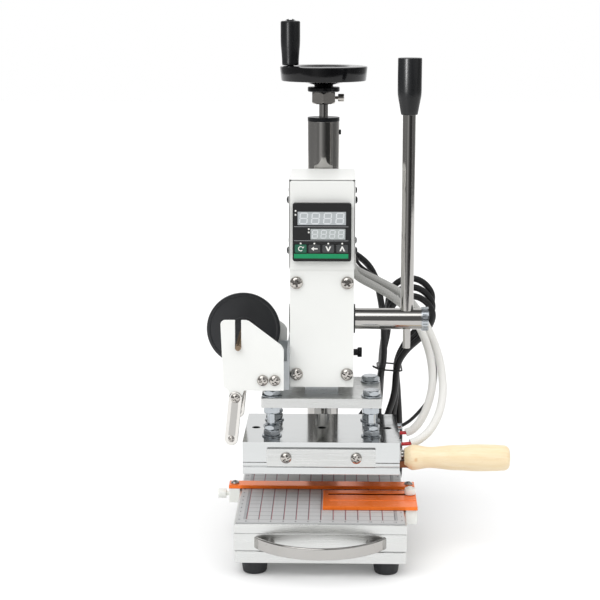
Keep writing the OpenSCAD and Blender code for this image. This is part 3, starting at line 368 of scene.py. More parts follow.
# Grey galvanised sheet of the holder's bracket
sheet_steel = speckled("galvanised_sheet", ("#A9ADB0", "#BFC3C5"), 1.2, (0.3, 0.44), 0.004, 1.0, patch=6)
# Blackened steel of small screws: oily sheen
black_steel = speckled("blackened_steel", ("#17181A", "#232427"), 0.5, (0.26, 0.4), 0.004, 0.6, patch=5)
# Spring wire, oil-tempered
spring_wire = speckled("oil_tempered_wire", ("#6C7074", "#84888B"), 0.4, (0.3, 0.42), 0.0, 1.0, patch=4)
# Anodised aluminium stop bars: dyed, so the metal's own reflections come out orange
ANODISED = (("#F6701A", "#FA8026"), 0.5, (0.18, 0.28), 0.003, 0.35, (0.03, 1, 1), 20)
orange = speckled("orange_anodised", *ANODISED)
# Natural nylon knobs and brackets: milky, waxy sheen
nylon = speckled("natural_nylon", ("#EFF0EC", "#E6E7E2"), 1.0, (0.34, 0.46), 0.01)
tuned(nylon, {"Subsurface Weight": 0.15, "Subsurface Radius": (0.002, 0.002, 0.0018)})
# Bakelite handwheel: deep black with a hard polish
bakelite = speckled("polished_bakelite", ("#0B0B0C", "#111113"), 1.5, (0.1, 0.17), 0.002)
tuned(bakelite, {"Specular IOR Level": 0.35})
# Moulded grips: the same black with a satin wear where hands go
grip_black = speckled("satin_bakelite", ("#101112", "#161719"), 1.0, (0.26, 0.36), 0.003)
tuned(grip_black, {"Specular IOR Level": 0.38})
# ABS of the controller's case: fine spark-eroded grain
case_black = speckled("grained_abs", ("#131415", "#191A1B"), 0.8, (0.42, 0.56), 0.02)
# Reel disc: moulded black polystyrene
disc_black = speckled("moulded_polystyrene", ("#202124", "#2A2B2E"), 2.5, (0.28, 0.34))
# Natural rubber feet with a dusty bloom
rubber = speckled("black_rubber", ("#1C1D1F", "#2A2B2E"), 1.0, (0.52, 0.7), 0.03, patch=8)
# Soft PVC of the mains cord
cord_black = speckled("soft_pvc", ("#101012", "#18181A"), 1.6, (0.3, 0.44), 0.012, patch=20)
# Tin bronze nut, turned
bronze = speckled("tin_bronze", ("#A9763C", "#C08D50"), 0.5, (0.2, 0.34), 0.003, 1.0, patch=6)
# Steel tongue browned by the heat of the block
browned = speckled("heat_browned_steel", ("#6B3A22", "#8A5230"), 0.8, (0.28, 0.42), 0.006, 0.55,
                   (0.2, 1, 1), 6)
# Silicone insulation of the heater wires
red_wire = speckled("red_silicone", ("#B81D24", "#C62A2E"), 0.8, (0.34, 0.46), 0.004, patch=6)
# Smoked panes of the two displays, unlit
upper_pane = speckled("pale_acrylic", ("#AFB4B7", "#B9BEC0"), 2.0, (0.1, 0.16), patch=15)
lower_pane = speckled("grey_acrylic", ("#AEB5B4", "#B8BDBD"), 2.0, (0.1, 0.16), patch=15)
# Unlit segments of the digits
ghost = speckled("unlit_segment", ("#D2D6D8", "#DADDDF"), 0.8, (0.22, 0.32), patch=6)
# Printed film of the controller's face: white and grey inks, a bright green field
print_white = speckled("white_ink", ("#F0F0EC", "#E8E8E4"), 0.6, (0.4, 0.5), patch=5)
print_grey = speckled("grey_ink", ("#8F9193", "#9A9C9E"), 0.6, (0.4, 0.5), patch=5)
print_green = speckled("green_ink", ("#078A57", "#0B9560"), 0.6, (0.36, 0.46), patch=8)
# Silicone keys
key_green = speckled("green_key_rubber", ("#1C5B45", "#22664E"), 0.6, (0.42, 0.54), 0.006, patch=4)
key_grey = speckled("grey_key_rubber", ("#3E4041", "#48494A"), 0.6, (0.42, 0.54), 0.006, patch=4)
# Dark print on the mat
print_dark = speckled("dark_ink", ("#33363B", "#3D4045"), 0.6, (0.5, 0.6), patch=5)

# Woven glass-fibre sleeve: two sets of strands cross at 45 degrees, on a UV map laid out in metres.
# Painted shade greys its upper part, above a height.
STRAND, UNSHADED_Z, SHADED_Z = 1.5, 172, 196
sleeve, tree, shader, place = begun("glass_fibre_sleeve", "#E2E0D9", 0.62)
lay = add(tree, "UVMap", uv_map="lay")
weave = []
for lean in (45, -45):
    turn = add(tree, "Mapping", {"Vector": lay, "Rotation": (0, 0, math.radians(lean))})
    band = add(tree, "TexWave", {"Vector": turn, "Scale": 0.314 / (STRAND * MM), "Distortion": 0.4},
               wave_profile="SIN")
    weave.append(band.outputs["Fac"])
cross = add(tree, "Math", {0: weave[0], 1: weave[1]}, operation="MULTIPLY")
lit_weave = add(tree, "Mix", {0: cross, 6: "#D8D7D3", 7: "#EFEEEB"}, data_type="RGBA")
shaded_weave = add(tree, "Mix", {0: cross, 6: "#9C9C99", 7: "#BDBDBA"}, data_type="RGBA")
up = add(tree, "SeparateXYZ", {0: place})
# Painted shade: between two heights the colour goes from the clean weave to the grey one, greyer above
painted_shade_mask = add(tree, "MapRange", {0: up.outputs[2], 1: UNSHADED_Z * MM, 2: SHADED_Z * MM})
shade = add(tree, "Mix", {0: painted_shade_mask, 6: lit_weave, 7: shaded_weave}, data_type="RGBA")
lift = add(tree, "Bump", {"Height": cross, "Strength": 0.4, "Distance": 0.15 * MM})
fill(shader, {"Base Color": shade, "Normal": lift, "Sheen Weight": 0.2})

# Beech handle: grain along X with darker pores and one knot, under a thin wax
KNOT = Vector((78.5, -45.0, 83.0)) * MM
wood, tree, shader, place = begun("waxed_beech", "#F2DFB8", 0.42)
along = add(tree, "Mapping", {"Vector": place, "Scale": (0.06, 1, 1)})
grain = add(tree, "TexNoise", {"Vector": along, "Scale": 1 / (2.2 * MM), "Detail": 5.0, "Distortion": 0.4})
pores = add(tree, "TexNoise", {"Vector": along, "Scale": 1 / (0.6 * MM), "Detail": 2.0})
pale = add(tree, "Mix", {0: grain, 6: "#F3E6CB", 7: "#E4C895"}, data_type="RGBA")
fleck = add(tree, "MapRange", {0: pores, 1: 0.62, 2: 0.74, 3: 0.0, 4: 0.35})
flecked = add(tree, "Mix", {0: fleck, 6: pale, 7: "#C99A62"}, data_type="RGBA")
apart = add(tree, "VectorMath", {0: place, 1: KNOT}, operation="DISTANCE")
knot = add(tree, "MapRange", {0: apart.outputs["Value"], 1: 0.7 * MM, 2: 2.0 * MM, 3: 0.5, 4: 0.0})
whole = add(tree, "Mix", {0: knot, 6: flecked, 7: "#CF8F45"}, data_type="RGBA")
rise = add(tree, "Bump", {"Height": pores, "Strength": 0.3, "Distance": 0.05 * MM})
fill(shader, {"Base Color": whole, "Normal": rise, "Coat Weight": 0.15, "Coat Roughness": 0.25})

# Printed PVC mat: centimetre squares in grey and dark red, and a millimetre scale down both sides
GRID_X, GRID_Y, GRID_END = 60.0, -91.0, 39.0
mat, tree, shader, place = begun("printed_pvc_mat", "#C9CACB", 0.5)
axes = add(tree, "SeparateXYZ", {0: place})
across, back = axes.outputs[0], axes.outputs[1]


def rule(axis, start, pitch, width):
    """1 on lines of a width at a pitch from a start, in mm along an axis."""
    shifted = add(tree, "Math", {0: axis, 1: -(start - width / 2) * MM}, operation="ADD")
    within = add(tree, "Math", {0: shifted, 1: pitch * MM}, operation="FLOORED_MODULO")
    return add(tree, "Math", {0: within, 1: width * MM}, operation="LESS_THAN")


def between(axis, low, high):
    """1 where an axis lies between two values in mm."""
    centre, half = (low + high) / 2, (high - low) / 2
    return add(tree, "Math", {0: axis, 1: centre * MM, 2: half * MM}, operation="COMPARE")


def both(a, b):
    """1 where two masks are 1."""
    return add(tree, "Math", {0: a, 1: b}, operation="MULTIPLY")


ruled = both(between(across, -GRID_X - 0.3, GRID_X + 0.3), between(back, GRID_Y - 0.2, GRID_END + 0.2))
upright = both(rule(across, GRID_X, 10, 0.55), ruled)
red_edge = both(rule(across, GRID_X + 0.5, 10, 0.45), ruled)
level = both(rule(back, GRID_Y, 10, 0.6), ruled)
wide = add(tree, "Math", {0: across}, operation="ABSOLUTE")
ticks = both(between(wide, GRID_X, GRID_X + 2.4), rule(back, GRID_Y, 1, 0.45))
scale = both(ticks, between(back, GRID_Y, GRID_END))
soil = add(tree, "TexNoise", {"Vector": place, "Scale": 1 / (30 * MM), "Detail": 3.0})
ground = add(tree, "Mix", {0: soil, 6: "#BDBDBD", 7: "#AAABAC"}, data_type="RGBA")
for mark, ink in ((level, "#76797B"), (red_edge, "#A0646A"), (upright, "#5B5E62"), (scale, "#62656A")):
    ground = add(tree, "Mix", {0: mark, 6: ground, 7: ink}, data_type="RGBA")
fill(shader, {"Base Color": ground})


# Cords and leads

def through(points, parts=6):
    """Points in metres on a smooth curve through route points in mm."""
    keys = [Vector(p) * MM for p in points]
    keys = [2 * keys[0] - keys[1]] + keys + [2 * keys[-1] - keys[-2]]
    route = []
    for a, b, c, d in zip(keys, keys[1:], keys[2:], keys[3:]):
        for i in range(parts):
            t = i / parts
            route.append(0.5 * (2 * b + (c - a) * t + (2 * a - 5 * b + 4 * c - d) * t * t
                                + (3 * b - a - 3 * c + d) * t ** 3))
    return route + [keys[-2]]


def tube(name, route, width, sides=16, hollow=0.0):
    """A round tube along a route, with a UV map in metres; a hollow end shows its wall by a depth in mm."""
    rings, turns, lengths = [], [], [0.0]
    ahead = (route[1] - route[0]).normalized()
    side = ahead.orthogonal().normalized()
    for i, point in enumerate(route):
        ahead = (route[min(i + 1, len(route) - 1)] - route[max(i - 1, 0)]).normalized()
        side = (side - side.dot(ahead) * ahead).normalized()
        turns.append((ahead, side, ahead.cross(side)))
        if i:
            lengths.append(lengths[-1] + (point - route[i - 1]).length)

    def ring(point, turn, radius):
        return [point + radius * (math.cos(2 * math.pi * k / sides) * turn[1]
                                  + math.sin(2 * math.pi * k / sides) * turn[2]) for k in range(sides)]

    radius = width / 2 * MM
    for point, turn in zip(route, turns):
        rings.append(ring(point, turn, radius))
    if hollow:
        mouth, throat, wall = 0.72 * radius, 0.7 * radius, 0.3 * radius
        rings.append(ring(route[-1], turns[-1], mouth))
        rings.append(ring(route[-1] - turns[-1][0] * hollow * MM, turns[-1], throat))
        lengths += [lengths[-1] + wall, lengths[-1] + wall + hollow * MM]
    corners = [tuple(p) for row in rings for p in row]
    faces = [tuple(reversed(range(sides)))]
    for i in range(len(rings) - 1):
        for k in range(sides):
            j = (k + 1) % sides
            faces.append((i * sides + k, i * sides + j, (i + 1) * sides + j, (i + 1) * sides + k))
    faces.append(tuple((len(rings) - 1) * sides + k for k in range(sides)))
    mesh = bpy.data.meshes.new(name)
    mesh.from_pydata(corners, [], faces)
    lay = mesh.uv_layers.new(name="lay")
    for face in mesh.polygons:
        ends = (min(face.vertices) % sides, max(face.vertices) % sides)
        last = ends == (0, sides - 1) and len(face.vertices) == 4
        for loop in face.loop_indices:
            corner = mesh.loops[loop].vertex_index
            around = corner % sides
            if last and around == 0:
                around = sides
            lay.data[loop].uv = (around / sides * math.pi * width * MM, lengths[corner // sides])
    piece = bpy.data.objects.new(name, mesh)
    scene.collection.objects.link(piece)
    return smooth(piece, 40)


# Power cord: out of its strain relief, round behind the head and down into a tied hank that ends in the plug
CORD_WIDTH = 6.0
HANK_X, HANK_Y, HANK_TOP, HANK_BOTTOM = 61.0, 105.0, 206.0, 3.5
TOP_R, BOTTOM_R, WAIST_R, WAIST_Z, HANK_STEP, HANK_LOOPS = 20.0, 18.0, 7.0, 126.0, 7.0, 3
HANK_LEAN, HANK_DROP, HANK_FOOT, HANK_FAN = 19.0, 7.0, -36.0, 14.0
TAIL_Z, TAIL_BACK = 80.0, 9.0
HANK_LOW = HANK_BOTTOM + BOTTOM_R
FIRST_RUN = 2


def soft_step(f):
    """From 0 to 1 with a gentle start and end."""
    return (1 - math.cos(math.pi * max(0, min(1, f)))) / 2


def hank_high(turn):
    """Height of a loop's top fold; the turn counts from 0 at the first left run and grows along the cord."""
    return HANK_TOP - TOP_R - HANK_DROP * (HANK_LOOPS - turn)


def above_waist(z, turn):
    """0 at the tied waist and below, 1 at a loop's top fold."""
    return soft_step((z - WAIST_Z) / (hank_high(turn) - WAIST_Z))


def below_waist(z):
    """0 at the tied waist and above, 1 at the bottom folds."""
    return soft_step((WAIST_Z - z) / (WAIST_Z - HANK_LOW))


def hank_middle(z, turn):
    """The middle of a loop at a height, along X."""
    return HANK_X + HANK_LEAN * above_waist(z, turn) + (HANK_FOOT + HANK_FAN * turn) * below_waist(z)


def hank_point(side, z, turn):
    """A point at a height on a loop's left or right run."""
    half = WAIST_R + (TOP_R - WAIST_R) * above_waist(z, turn) + (BOTTOM_R - WAIST_R) * below_waist(z)
    return (hank_middle(z, turn) + side * half, HANK_Y + turn * HANK_STEP, z)


def run_point(side, i, turn):
    """A point on a loop's left or right run, numbered from its top."""
    z = hank_high(turn) - (hank_high(turn) - WAIST_Z) * i / 3
    if i >= 3:
        z = WAIST_Z - (WAIST_Z - HANK_LOW) * (i - 3) / 4
    return hank_point(side, z, turn)


def fold_point(z, turn, radius, angle):
    """A point on the arc of a loop's top or bottom fold."""
    a = math.radians(angle)
    return (hank_middle(z, turn) + radius * math.cos(a), HANK_Y + turn * HANK_STEP, z + radius * math.sin(a))


join = run_point(-1, FIRST_RUN, 0)
cord_points = [(-20, 62, 250), (-20, 72, 250), (-20, 83, 250), (-18.3, 92.5, 249.5), (-13, 100.6, 248),
               (-5, 106.2, 245.6), (4.5, 108.2, 242.4), (15, 108, 238.4), (25, 107.6, 233.6),
               (34, 107, 227.8), (41.5, 106.2, 220.5), (46.8, 105.5, 211), (50, 105.2, 200),
               (52.4, 105, 188), (54.2, 105, 176), (55.2, 105, 166)]
cord_points += [(join[0], HANK_Y, join[2] + gap * CORD_WIDTH) for gap in (2, 1)]
for loop in range(HANK_LOOPS):
    cord_points += [run_point(-1, i, loop) for i in range(0 if loop else FIRST_RUN, 7)]
    cord_points += [fold_point(HANK_LOW, loop, BOTTOM_R, angle) for angle in range(180, 325, 36)]
    cord_points += [run_point(1, i, loop + 1 - soft_step(i / 7)) for i in range(7, 0, -1)]
    cord_points += [fold_point(hank_high(loop + 1), loop + 1, TOP_R, angle) for angle in range(0, 145, 36)]
tail_y = HANK_Y + HANK_LOOPS * HANK_STEP
tail_high = hank_high(HANK_LOOPS)
for i in range(7):
    x, y, z = hank_point(-1, tail_high + (TAIL_Z - tail_high) * i / 6, HANK_LOOPS)
    cord_points.append((x, y + TAIL_BACK * soft_step((WAIST_Z - 8 - z) / 30), z))
tail = Vector(cord_points[-1])
cord_points.append((tail.x, tail.y, tail.z - CORD_WIDTH))

# Plug: its body and pins hang below a ribbed relief
PLUG_X, PLUG_Y, PLUG_SHOULDER, PLUG_FACE, PIN_X = 12, 7, 12, 48, 8
plug_top = tail - Vector((0, 0, CORD_WIDTH))
ribs = [(0, 0.6), (3.1, 0.6), (3.4, 0.2), (4.2, 0)]
for i in range(4):
    z = -1.2 - 2.6 * i
    r = 4.3 + 0.3 * i
    ribs += [(r, z + 0.9), (r + 0.15, z), (r + 0.05, z - 0.9), (r - 0.75, z - 1.2), (r - 0.65, z - 1.6)]
ribs += [(5.4, -11.8), (0, -12.4)]
relief = turned("plug_relief", ribs, plug_top, steps=40)
plug_body = block("plug_body", plug_top - Vector((PLUG_X, PLUG_Y, PLUG_FACE)),
                  plug_top + Vector((PLUG_X, PLUG_Y, -PLUG_SHOULDER)), 4.6, 6)
plug = dress(joined("mains_plug", [plug_body, relief]), cord_black, "frame", "cord", "power_plug")
pin = turned("pin", [(0, -15), (1.5, -15), (1.9, -14.3), (2, -13), (2, 0.5), (0, 0.5)], steps=32)
pins = placed("plug_pins", pin, [aim(plug_top + Vector((x, 0, -PLUG_FACE))) for x in (-PIN_X, PIN_X)])
dress(pins, chrome, "frame", "chrome")

# Twist tie round the hank's waist, its ends wound together at the left
TIE_REACH, TIE_CORNER, TIE_HEIGHT, TIE_SLANT = 4.1, 4.2, 1.25, 1.6
TWIST_R, TWIST_STEP, TWIST_RISE = 0.55, 0.15, 0.07
TIE_LOW, TIE_HIGH = WAIST_Z - 2.5, WAIST_Z
tie_left, tie_right = HANK_X - WAIST_R - TIE_REACH, HANK_X + WAIST_R + TIE_REACH
tie_front, tie_back = HANK_Y - TIE_REACH, tail_y + TIE_REACH
west, east = tie_left + TIE_CORNER, tie_right - TIE_CORNER
south, north = tie_front + TIE_CORNER, tie_back - TIE_CORNER
tie_route = []
for x, y, start in ((east, south, -90), (east, north, 0), (west, north, 90), (west, south, 180)):
    for px, py in arc(x, y, TIE_CORNER, start, start + 90):
        pz = TIE_LOW + TIE_HEIGHT - TIE_SLANT * (px - HANK_X) / (tie_right - tie_left)
        tie_route.append(Vector((px, py, pz)) * MM)
tie_route.append(tie_route[0] + Vector((0.5, 0, 0)) * MM)
wound = []
for phase in (0, math.pi):
    twist = []
    for i in range(33):
        a = phase + 2 * math.pi * i / 12
        twist.append(Vector((tie_left + 0.4 - TWIST_STEP * i, tie_front + 3 + TWIST_R * math.cos(a),
                             TIE_HIGH - 0.4 + TWIST_R * math.sin(a) + TWIST_RISE * i)) * MM)
    wound.append(tube("tie_twist", twist, 1.0, 8))
tie = joined("cord_band", [tube("cord_band", tie_route, 1.5, 10)] + wound)
dress(tie, cord_black, "frame", "cord", "cord_tie")

cord_route = through(cord_points)
cord = tube("mains_cord", cord_route, CORD_WIDTH)
cord.data.materials.append(cord_black)
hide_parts("power_cord", "cord_hank")
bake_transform(cord)

# Heater leads in their sleeves, red wires at the block, and the thin sensor lead
SLEEVE_WIDTH, SENSOR_WIDTH, WIRE_WIDTH = 7.0, 3.0, 2.3
rear_lead = [(19, 63, 252), (19, 66, 252), (20.3, 70.5, 250.8), (23, 74.5, 247), (25, 76.8, 240.5),
             (25.5, 77, 233.5), (25.9, 77, 226.5), (27.4, 77, 220.3), (31, 77, 215.8), (36.5, 77, 212.2),
             (43, 77, 208.8), (50, 76.5, 205), (59, 75, 199.7), (68, 72.5, 193.6), (76.5, 69, 185.8),
             (84, 63.5, 176), (90, 56.5, 164), (94, 49, 152), (96, 41, 140), (96, 33.5, 128.5),
             (93.5, 27, 117.5), (89.5, 21, 107.5), (84, 16, 98.5), (78, 13, 92.8), (72.5, 12, 90.6)]
front_lead = [(19, 63, 263), (19, 67.5, 263), (19.8, 74.5, 261.3), (21.8, 80.8, 256), (23.4, 84, 248.5),
              (24.1, 85.2, 241), (24.4, 85.5, 233.5), (25.4, 85.5, 226.8), (28.4, 85.4, 221.8),
              (34, 85.2, 218.3), (41, 85, 215), (48, 84.5, 211.7), (58, 83.5, 206.8), (68, 81, 201.5),
              (76.5, 77.5, 195), (84.5, 72.5, 186), (91.5, 66, 174.5), (98, 58, 161.5), (102.5, 48.5, 148.5),
              (104.5, 37, 136), (104.5, 23, 125), (102, 8, 115), (97, -5, 106), (90, -15, 98.5),
              (82, -21, 93.5), (75, -23, 91)]
sensor_points = [(19, 63, 274), (19, 68, 274), (19.6, 77, 272.2), (21.3, 84.8, 266.5), (23.3, 89.5, 258),
                 (25, 91.8, 248.5), (26.5, 92.6, 239.5), (28.5, 92.8, 231), (33, 92.6, 223.5),
                 (41, 92, 217.5), (50, 91, 212), (60, 89.5, 205.5), (69, 87, 197.5), (77, 82.5, 187),
                 (85, 75.5, 175), (92, 66, 162), (97, 57, 149), (99.5, 47, 136), (97.5, 39.5, 123.5),
                 (92, 35.8, 112.5), (84.5, 34.6, 103), (77, 34.1, 95.5), (70.5, 34, 91.2), (67.3, 34, 90.3),
                 (65.3, 34, 90.3)]
for name, points in (("rear", rear_lead), ("front", front_lead)):
    route = through(points)
    lead = tube(name + "_heater_sleeve", route, SLEEVE_WIDTH, 20, hollow=3)
    lead.data.materials.append(sleeve)
    if name == "rear":
        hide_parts("heater_leads")
    # Two wires start inside the sleeve's open end and run into the block's right side
    end, before = Vector(points[-1]), Vector(points[-2])
    wires = []
    for side in (-1, 1):
        shift = Vector((0, side * 1.2, 0))
        wire_points = [end + 0.35 * (before - end) + shift, end + shift,
                       (69.5, end.y + side * 1.3, 90.35), (66.4, end.y + side * 1.4, 90.3)]
        wires.append(tube(name + "_wire", through(wire_points), WIRE_WIDTH, 12))
    wire = joined(name + "_heater_wires", wires)
    dress(wire, red_wire, "press", "sleeve")
    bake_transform(lead)
sensor_route = through(sensor_points)
sensor = tube("sensor_cable", sensor_route, SENSOR_WIDTH, 12)
sensor.data.materials.append(cord_black)
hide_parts("sensor_lead")
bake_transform(sensor)
outline = [(0, 0), (2.2, 0), (2.6, 0.4), (2.6, 4.4), (2, 5), (1.6, 5.2), (0, 5.2)]
ferrule = turned("sensor_ferrule", outline, (65, 34, 90.3), RIGHT, 32)
dress(ferrule, zinc, "press", "steel")

# Strain relief and grommets on the rear panel
panel_y = span("box_rear_panel")[1].y
outline = [(3.05, 0), (6, 0), (6, 2.4), (5.6, 3), (5.3, 3.2)]
for i in range(6):
    y = 3.6 + 3 * i
    r = 5.2 - 0.18 * i
    outline += [(r, y), (r, y + 1.7), (r - 0.7, y + 2.0), (r - 0.7, y + 2.7)]
outline += [(4.2, 21.6), (3.9, 22), (3.05, 22), (3.05, 0)]
glands = [turned("cord_strain_relief", outline, (cord_points[0][0], panel_y, cord_points[0][2]), BACK, 40)]
for place, r in ((rear_lead[0], 4.5), (front_lead[0], 4.5), (sensor_points[0], 3)):
    outline = [(0, 0), (r, 0), (r + 0.5, 0.5), (r + 0.5, 2.2), (r, 3), (0, 3)]
    glands.append(turned("grommet", outline, (place[0], panel_y, place[2]), BACK, 40))
dress(joined("cord_strain_relief", glands), rubber, "head", "rubber", "cable_grommets")


# CAD solids whose shape is right, with their edges rounded as the real ones are
for node, width, finish, slot in (
        ("base_plate", 0.7, milled, "aluminium"), ("carriage", 0.5, milled, "aluminium"),
        ("table_plate", 0.6, milled, "aluminium"), ("long_stop_bar", 0.4, orange, "orange"),
        ("long_stop_brackets", 0.7, nylon, "white_nylon"), ("short_stop_bracket", 0.7, nylon, "white_nylon"),
        ("front_cover", 0.5, white_paint, "white_paint"), ("head_casting", 0.8, white_paint, "white_paint"),
        ("temp_controller", 0.5, case_black, "controller_case"),
        ("button_set", 0.35, key_green, "green_button"), ("button_shift", 0.35, key_grey, "grey_button"),
        ("button_down", 0.35, key_grey, "grey_button"), ("button_up", 0.35, key_grey, "grey_button"),
        ("column", 0.3, chrome, "chrome"), ("column_cap", 0.4, black_steel, "steel"),
        ("shaft_end_cap", 0.25, zinc, "steel"), ("lever_rod", 0.4, chrome, "chrome"),
        ("press_plate", 0.5, milled, "aluminium"), ("heat_block", 0.5, polished, "polished_block"),
        ("front_strip", 0.4, milled, "aluminium"), ("die_plate", 0.35, milled, "aluminium"),
        ("foil_bracket", 0.4, sheet_steel, "aluminium"), ("foil_plates", 0.3, white_paint, "white_paint"),
        # The foil arms' lighter nickel is a painted reflection
        ("foil_guide", 0.7, nickel_painted_bright, "chrome"), ("crank_pin", 0.25, black_steel, "steel")):
    dress(eased_copy(node, width), finish, body_of[node], slot, node)

# CAD solids that show little and keep their own mesh
# The bushings' blackened steel is a painted dark reflection, standing in for the dark that their chrome flanges
# mirror
for node, finish in (("guide_rails", steel), ("grid_mat", mat), ("bushings", black_steel),
                     ("box_rear_panel", white_paint), ("lead_nut", bronze), ("lead_screw", chrome),
                     ("pinion_shaft", chrome), ("ram", steel), ("heater_cartridges", steel)):
    solid = frame["nodes"][node]
    solid.data.materials.clear()
    solid.data.materials.append(finish)

# Bow pull: a strip with well rounded edges, bent to an arc, on two posts
STRIP, ROUNDING, POST_X, POST_R = 2.5, 1.2, 40, 3.5
pull_low, pull_mid, pull = extent("pull_handle")
pull_back = pull_low.y + pull.y
bow_r = ((pull.x / 2) ** 2 + pull.y ** 2) / (2 * pull.y)
bow_y = pull_low.y + bow_r
outer, inner = bow_r - ROUNDING, bow_r - STRIP + ROUNDING
bottom, top = ROUNDING, pull.z - ROUNDING
outline = []
for r, z, start in ((outer, bottom, -90), (outer, top, 0), (inner, top, 90), (inner, bottom, 180)):
    outline += arc(r, z, ROUNDING, start, start + 90)
outline.append(outline[0])
bow = turned("bow_pull", outline, (0, bow_y, pull_low.z), steps=420)
cut(bow, block("behind", (-2 * bow_r, pull_back, pull_low.z - 9),
               (2 * bow_r, bow_y + 2 * bow_r, pull_low.z + pull.z + 9)))
posts = []
for x in (-POST_X, POST_X):
    start = bow_y - math.sqrt((bow_r - STRIP / 2) ** 2 - x ** 2)
    length = pull_back - start
    outline = [(0, 0), (POST_R, 0), (POST_R, length), (0, length)]
    posts.append(turned("post", outline, (x, start, pull_mid.z), BACK, 48))
dress(joined("bow_pull", [bow] + posts), chrome, "table", "chrome", "pull_handle")

# Short stop plate: a fine groove along it in front of its slot, whose walls get painted shade
stop_low, stop_high = span("short_stop_plate")
groove_y = stop_low.y + (stop_high.y - stop_low.y) * 0.38
groove = block("groove", (stop_low.x + 5, groove_y - 0.7, stop_high.z - 0.6),
               (stop_high.x + 1, groove_y + 0.7, stop_high.z + 1))
slot_shaded_orange = speckled("orange_anodised_painted_slot_shade", *ANODISED)
tree = slot_shaded_orange.node_tree
dye = tree.nodes["Principled BSDF"].inputs["Base Color"]
axes = add(tree, "SeparateXYZ", {0: add(tree, "TexCoord").outputs["Object"]})
sunk = add(tree, "MapRange", {0: axes.outputs[2], 1: (stop_high.z - 0.9) * MM, 2: (stop_high.z - 0.45) * MM,
                              3: 1.0, 4: 0.0})
behind = add(tree, "MapRange", {0: axes.outputs[1], 1: (groove_y - 1.5) * MM, 2: (groove_y - 1) * MM})
# Painted shade: a dark orange-brown laid on the slot's walls, below the top and behind the groove
shade = add(tree, "Mix", {0: both(sunk, behind), 6: dye.links[0].from_socket, 7: "#4A1A08"},
            data_type="RGBA")
tuned(slot_shaded_orange, {"Base Color": shade})
dress(eased_copy("short_stop_plate", 0.4, [groove]), slot_shaded_orange, "short_stop", "orange", "short_stop_plate")

# Drawer rails: a gap under the block and a milled groove along the front one
rail_low, rail_high = span("drawer_rails")
grooves = [block("groove", (rail_low.x - 1, rail_low.y - 1, rail_high.z - down),
                 (rail_high.x + 1, rail_low.y + deep, rail_high.z - down + tall))
           for down, tall, deep in ((0.7, 1, 1.2), (4.4, 1.1, 0.9))]
dress(eased_copy("drawer_rails", 0.3, grooves), polished, "press", "aluminium", "drawer_rails")

# Controller box, a folded sheet: a seam under the top fold, notches at its corners, a joint down each side
box_low, box_high = span("controller_box")
slits = [block("seam", (box_low.x + 2, box_low.y - 1, box_high.z - 0.95),
               (box_high.x - 2, box_low.y + 3, box_high.z - 0.3))]
for name, lefts, wide, low, high in (
        ("notch", (box_low.x + 0.35, box_high.x - 2.05), 1.7, box_high.z - 1.5, box_high.z - 0.15),
        ("joint", (box_low.x + 0.5, box_high.x - 0.95), 0.45, box_low.z - 1, box_high.z - 1.4)):
    slits += [block(name, (x, box_low.y - 1, low), (x + wide, box_low.y + 9, high)) for x in lefts]
dress(eased_copy("controller_box", 0.3, slits), white_paint, "head", "white_paint", "controller_box")

# Rubber feet with a recessed screw seat
FOOT_X, FOOT_Y = 53.5, 84
foot = turned("foot", [(0, 4), (3, 4), (3.4, 0.5), (3.9, 0), (8.3, 0), (9.3, 0.4), (9.75, 1.5), (10.6, 7),
                       (11.35, 11.2), (11.2, 11.8), (10.9, 12), (0, 12)])
feet = placed("feet", foot, [aim((x, y, 0)) for x in (-FOOT_X, FOOT_X) for y in (-FOOT_Y, FOOT_Y)])
dress(feet, rubber, "frame", "rubber", "rubber_feet")


# Fasteners

def domed(width, height, edge, steps):
    """A screw's domed head above an upright edge."""
    r, rise = width / 2, height - edge
    dome = [(r * c, edge + rise * s) for c, s in arc(0, 0, 1, 0, 90, 10)]
    return turned("screw", [(0, 0), (r - 0.1, 0)] + dome, steps=steps)


def cross_screw(width, height):
    """A pan head with a cross recess, upright on its seat."""
    edge = 0.16 * height
    head = domed(width, height, edge, 40)
    reach, slit, deep = 0.3 * width, 0.085 * width, 0.7 * height
    for a, b in ((reach, slit), (slit, reach)):
        cut(head, block("recess", (-a, -b, height - deep), (a, b, height + 1)))
    return head


def hexagon(flats, height, base=0.0):
    """A six-sided prism across its flats, upright from a base, with a corner along X."""
    drop_all()
    radius = flats / 2 / math.cos(math.radians(30)) * MM
    bpy.ops.mesh.primitive_cylinder_add(vertices=6, radius=radius, depth=height * MM,
                                        location=(0, 0, (base + height / 2) * MM),
                                        rotation=(0, 0, math.radians(30)))
    return settle(bpy.context.object)


def nut(flats, height):
    """A hexagon nut with both faces chamfered."""
    corner = flats / 2 / math.cos(math.radians(30)) + 0.2
    slope, face = 0.1 * flats, 0.48 * flats
    outline = [(0, 0), (face, 0), (corner, slope), (corner, height - slope), (face, height), (0, height)]
    blank = turned("blank", outline, steps=48)
    return ease_edges(cut(hexagon(flats, height), blank, "INTERSECT"), 0.12, 1, 50)


def seated(name, model, finish, body, seats, *nodes):
    """Copies of a screw as one dressed piece; each seat is a place, a direction and a turn."""
    return dress(placed(name, model, [aim(*seat) for seat in seats]), finish, body, "steel", *nodes)


cover_y = span("front_cover")[0].y
seats = [((x, cover_y, z), FRONT, turn) for x, z, turn in
         ((-21, 150.8, 20), (21, 150.8, 65), (-21, 228.3, 8), (21, 228.3, 40))]
seated("cover_screws", cross_screw(10.8, 4), nickel, "head", seats, "head_screws")
foil_y = span("foil_plates")[0].y
seats = [((x, foil_y, 149.3), FRONT, turn) for x, turn in ((-48.5, 12), (-38.5, 55))]
seated("foil_plate_screws", cross_screw(9.5, 3.5), nickel, "head", seats)
strip_y = span("front_strip")[0].y
seats = [((x, strip_y, 86.3), FRONT, turn) for x, turn in ((-29, 25), (29, 70))]
seated("strip_screws", cross_screw(9.4, 3.2), nickel, "press", seats)

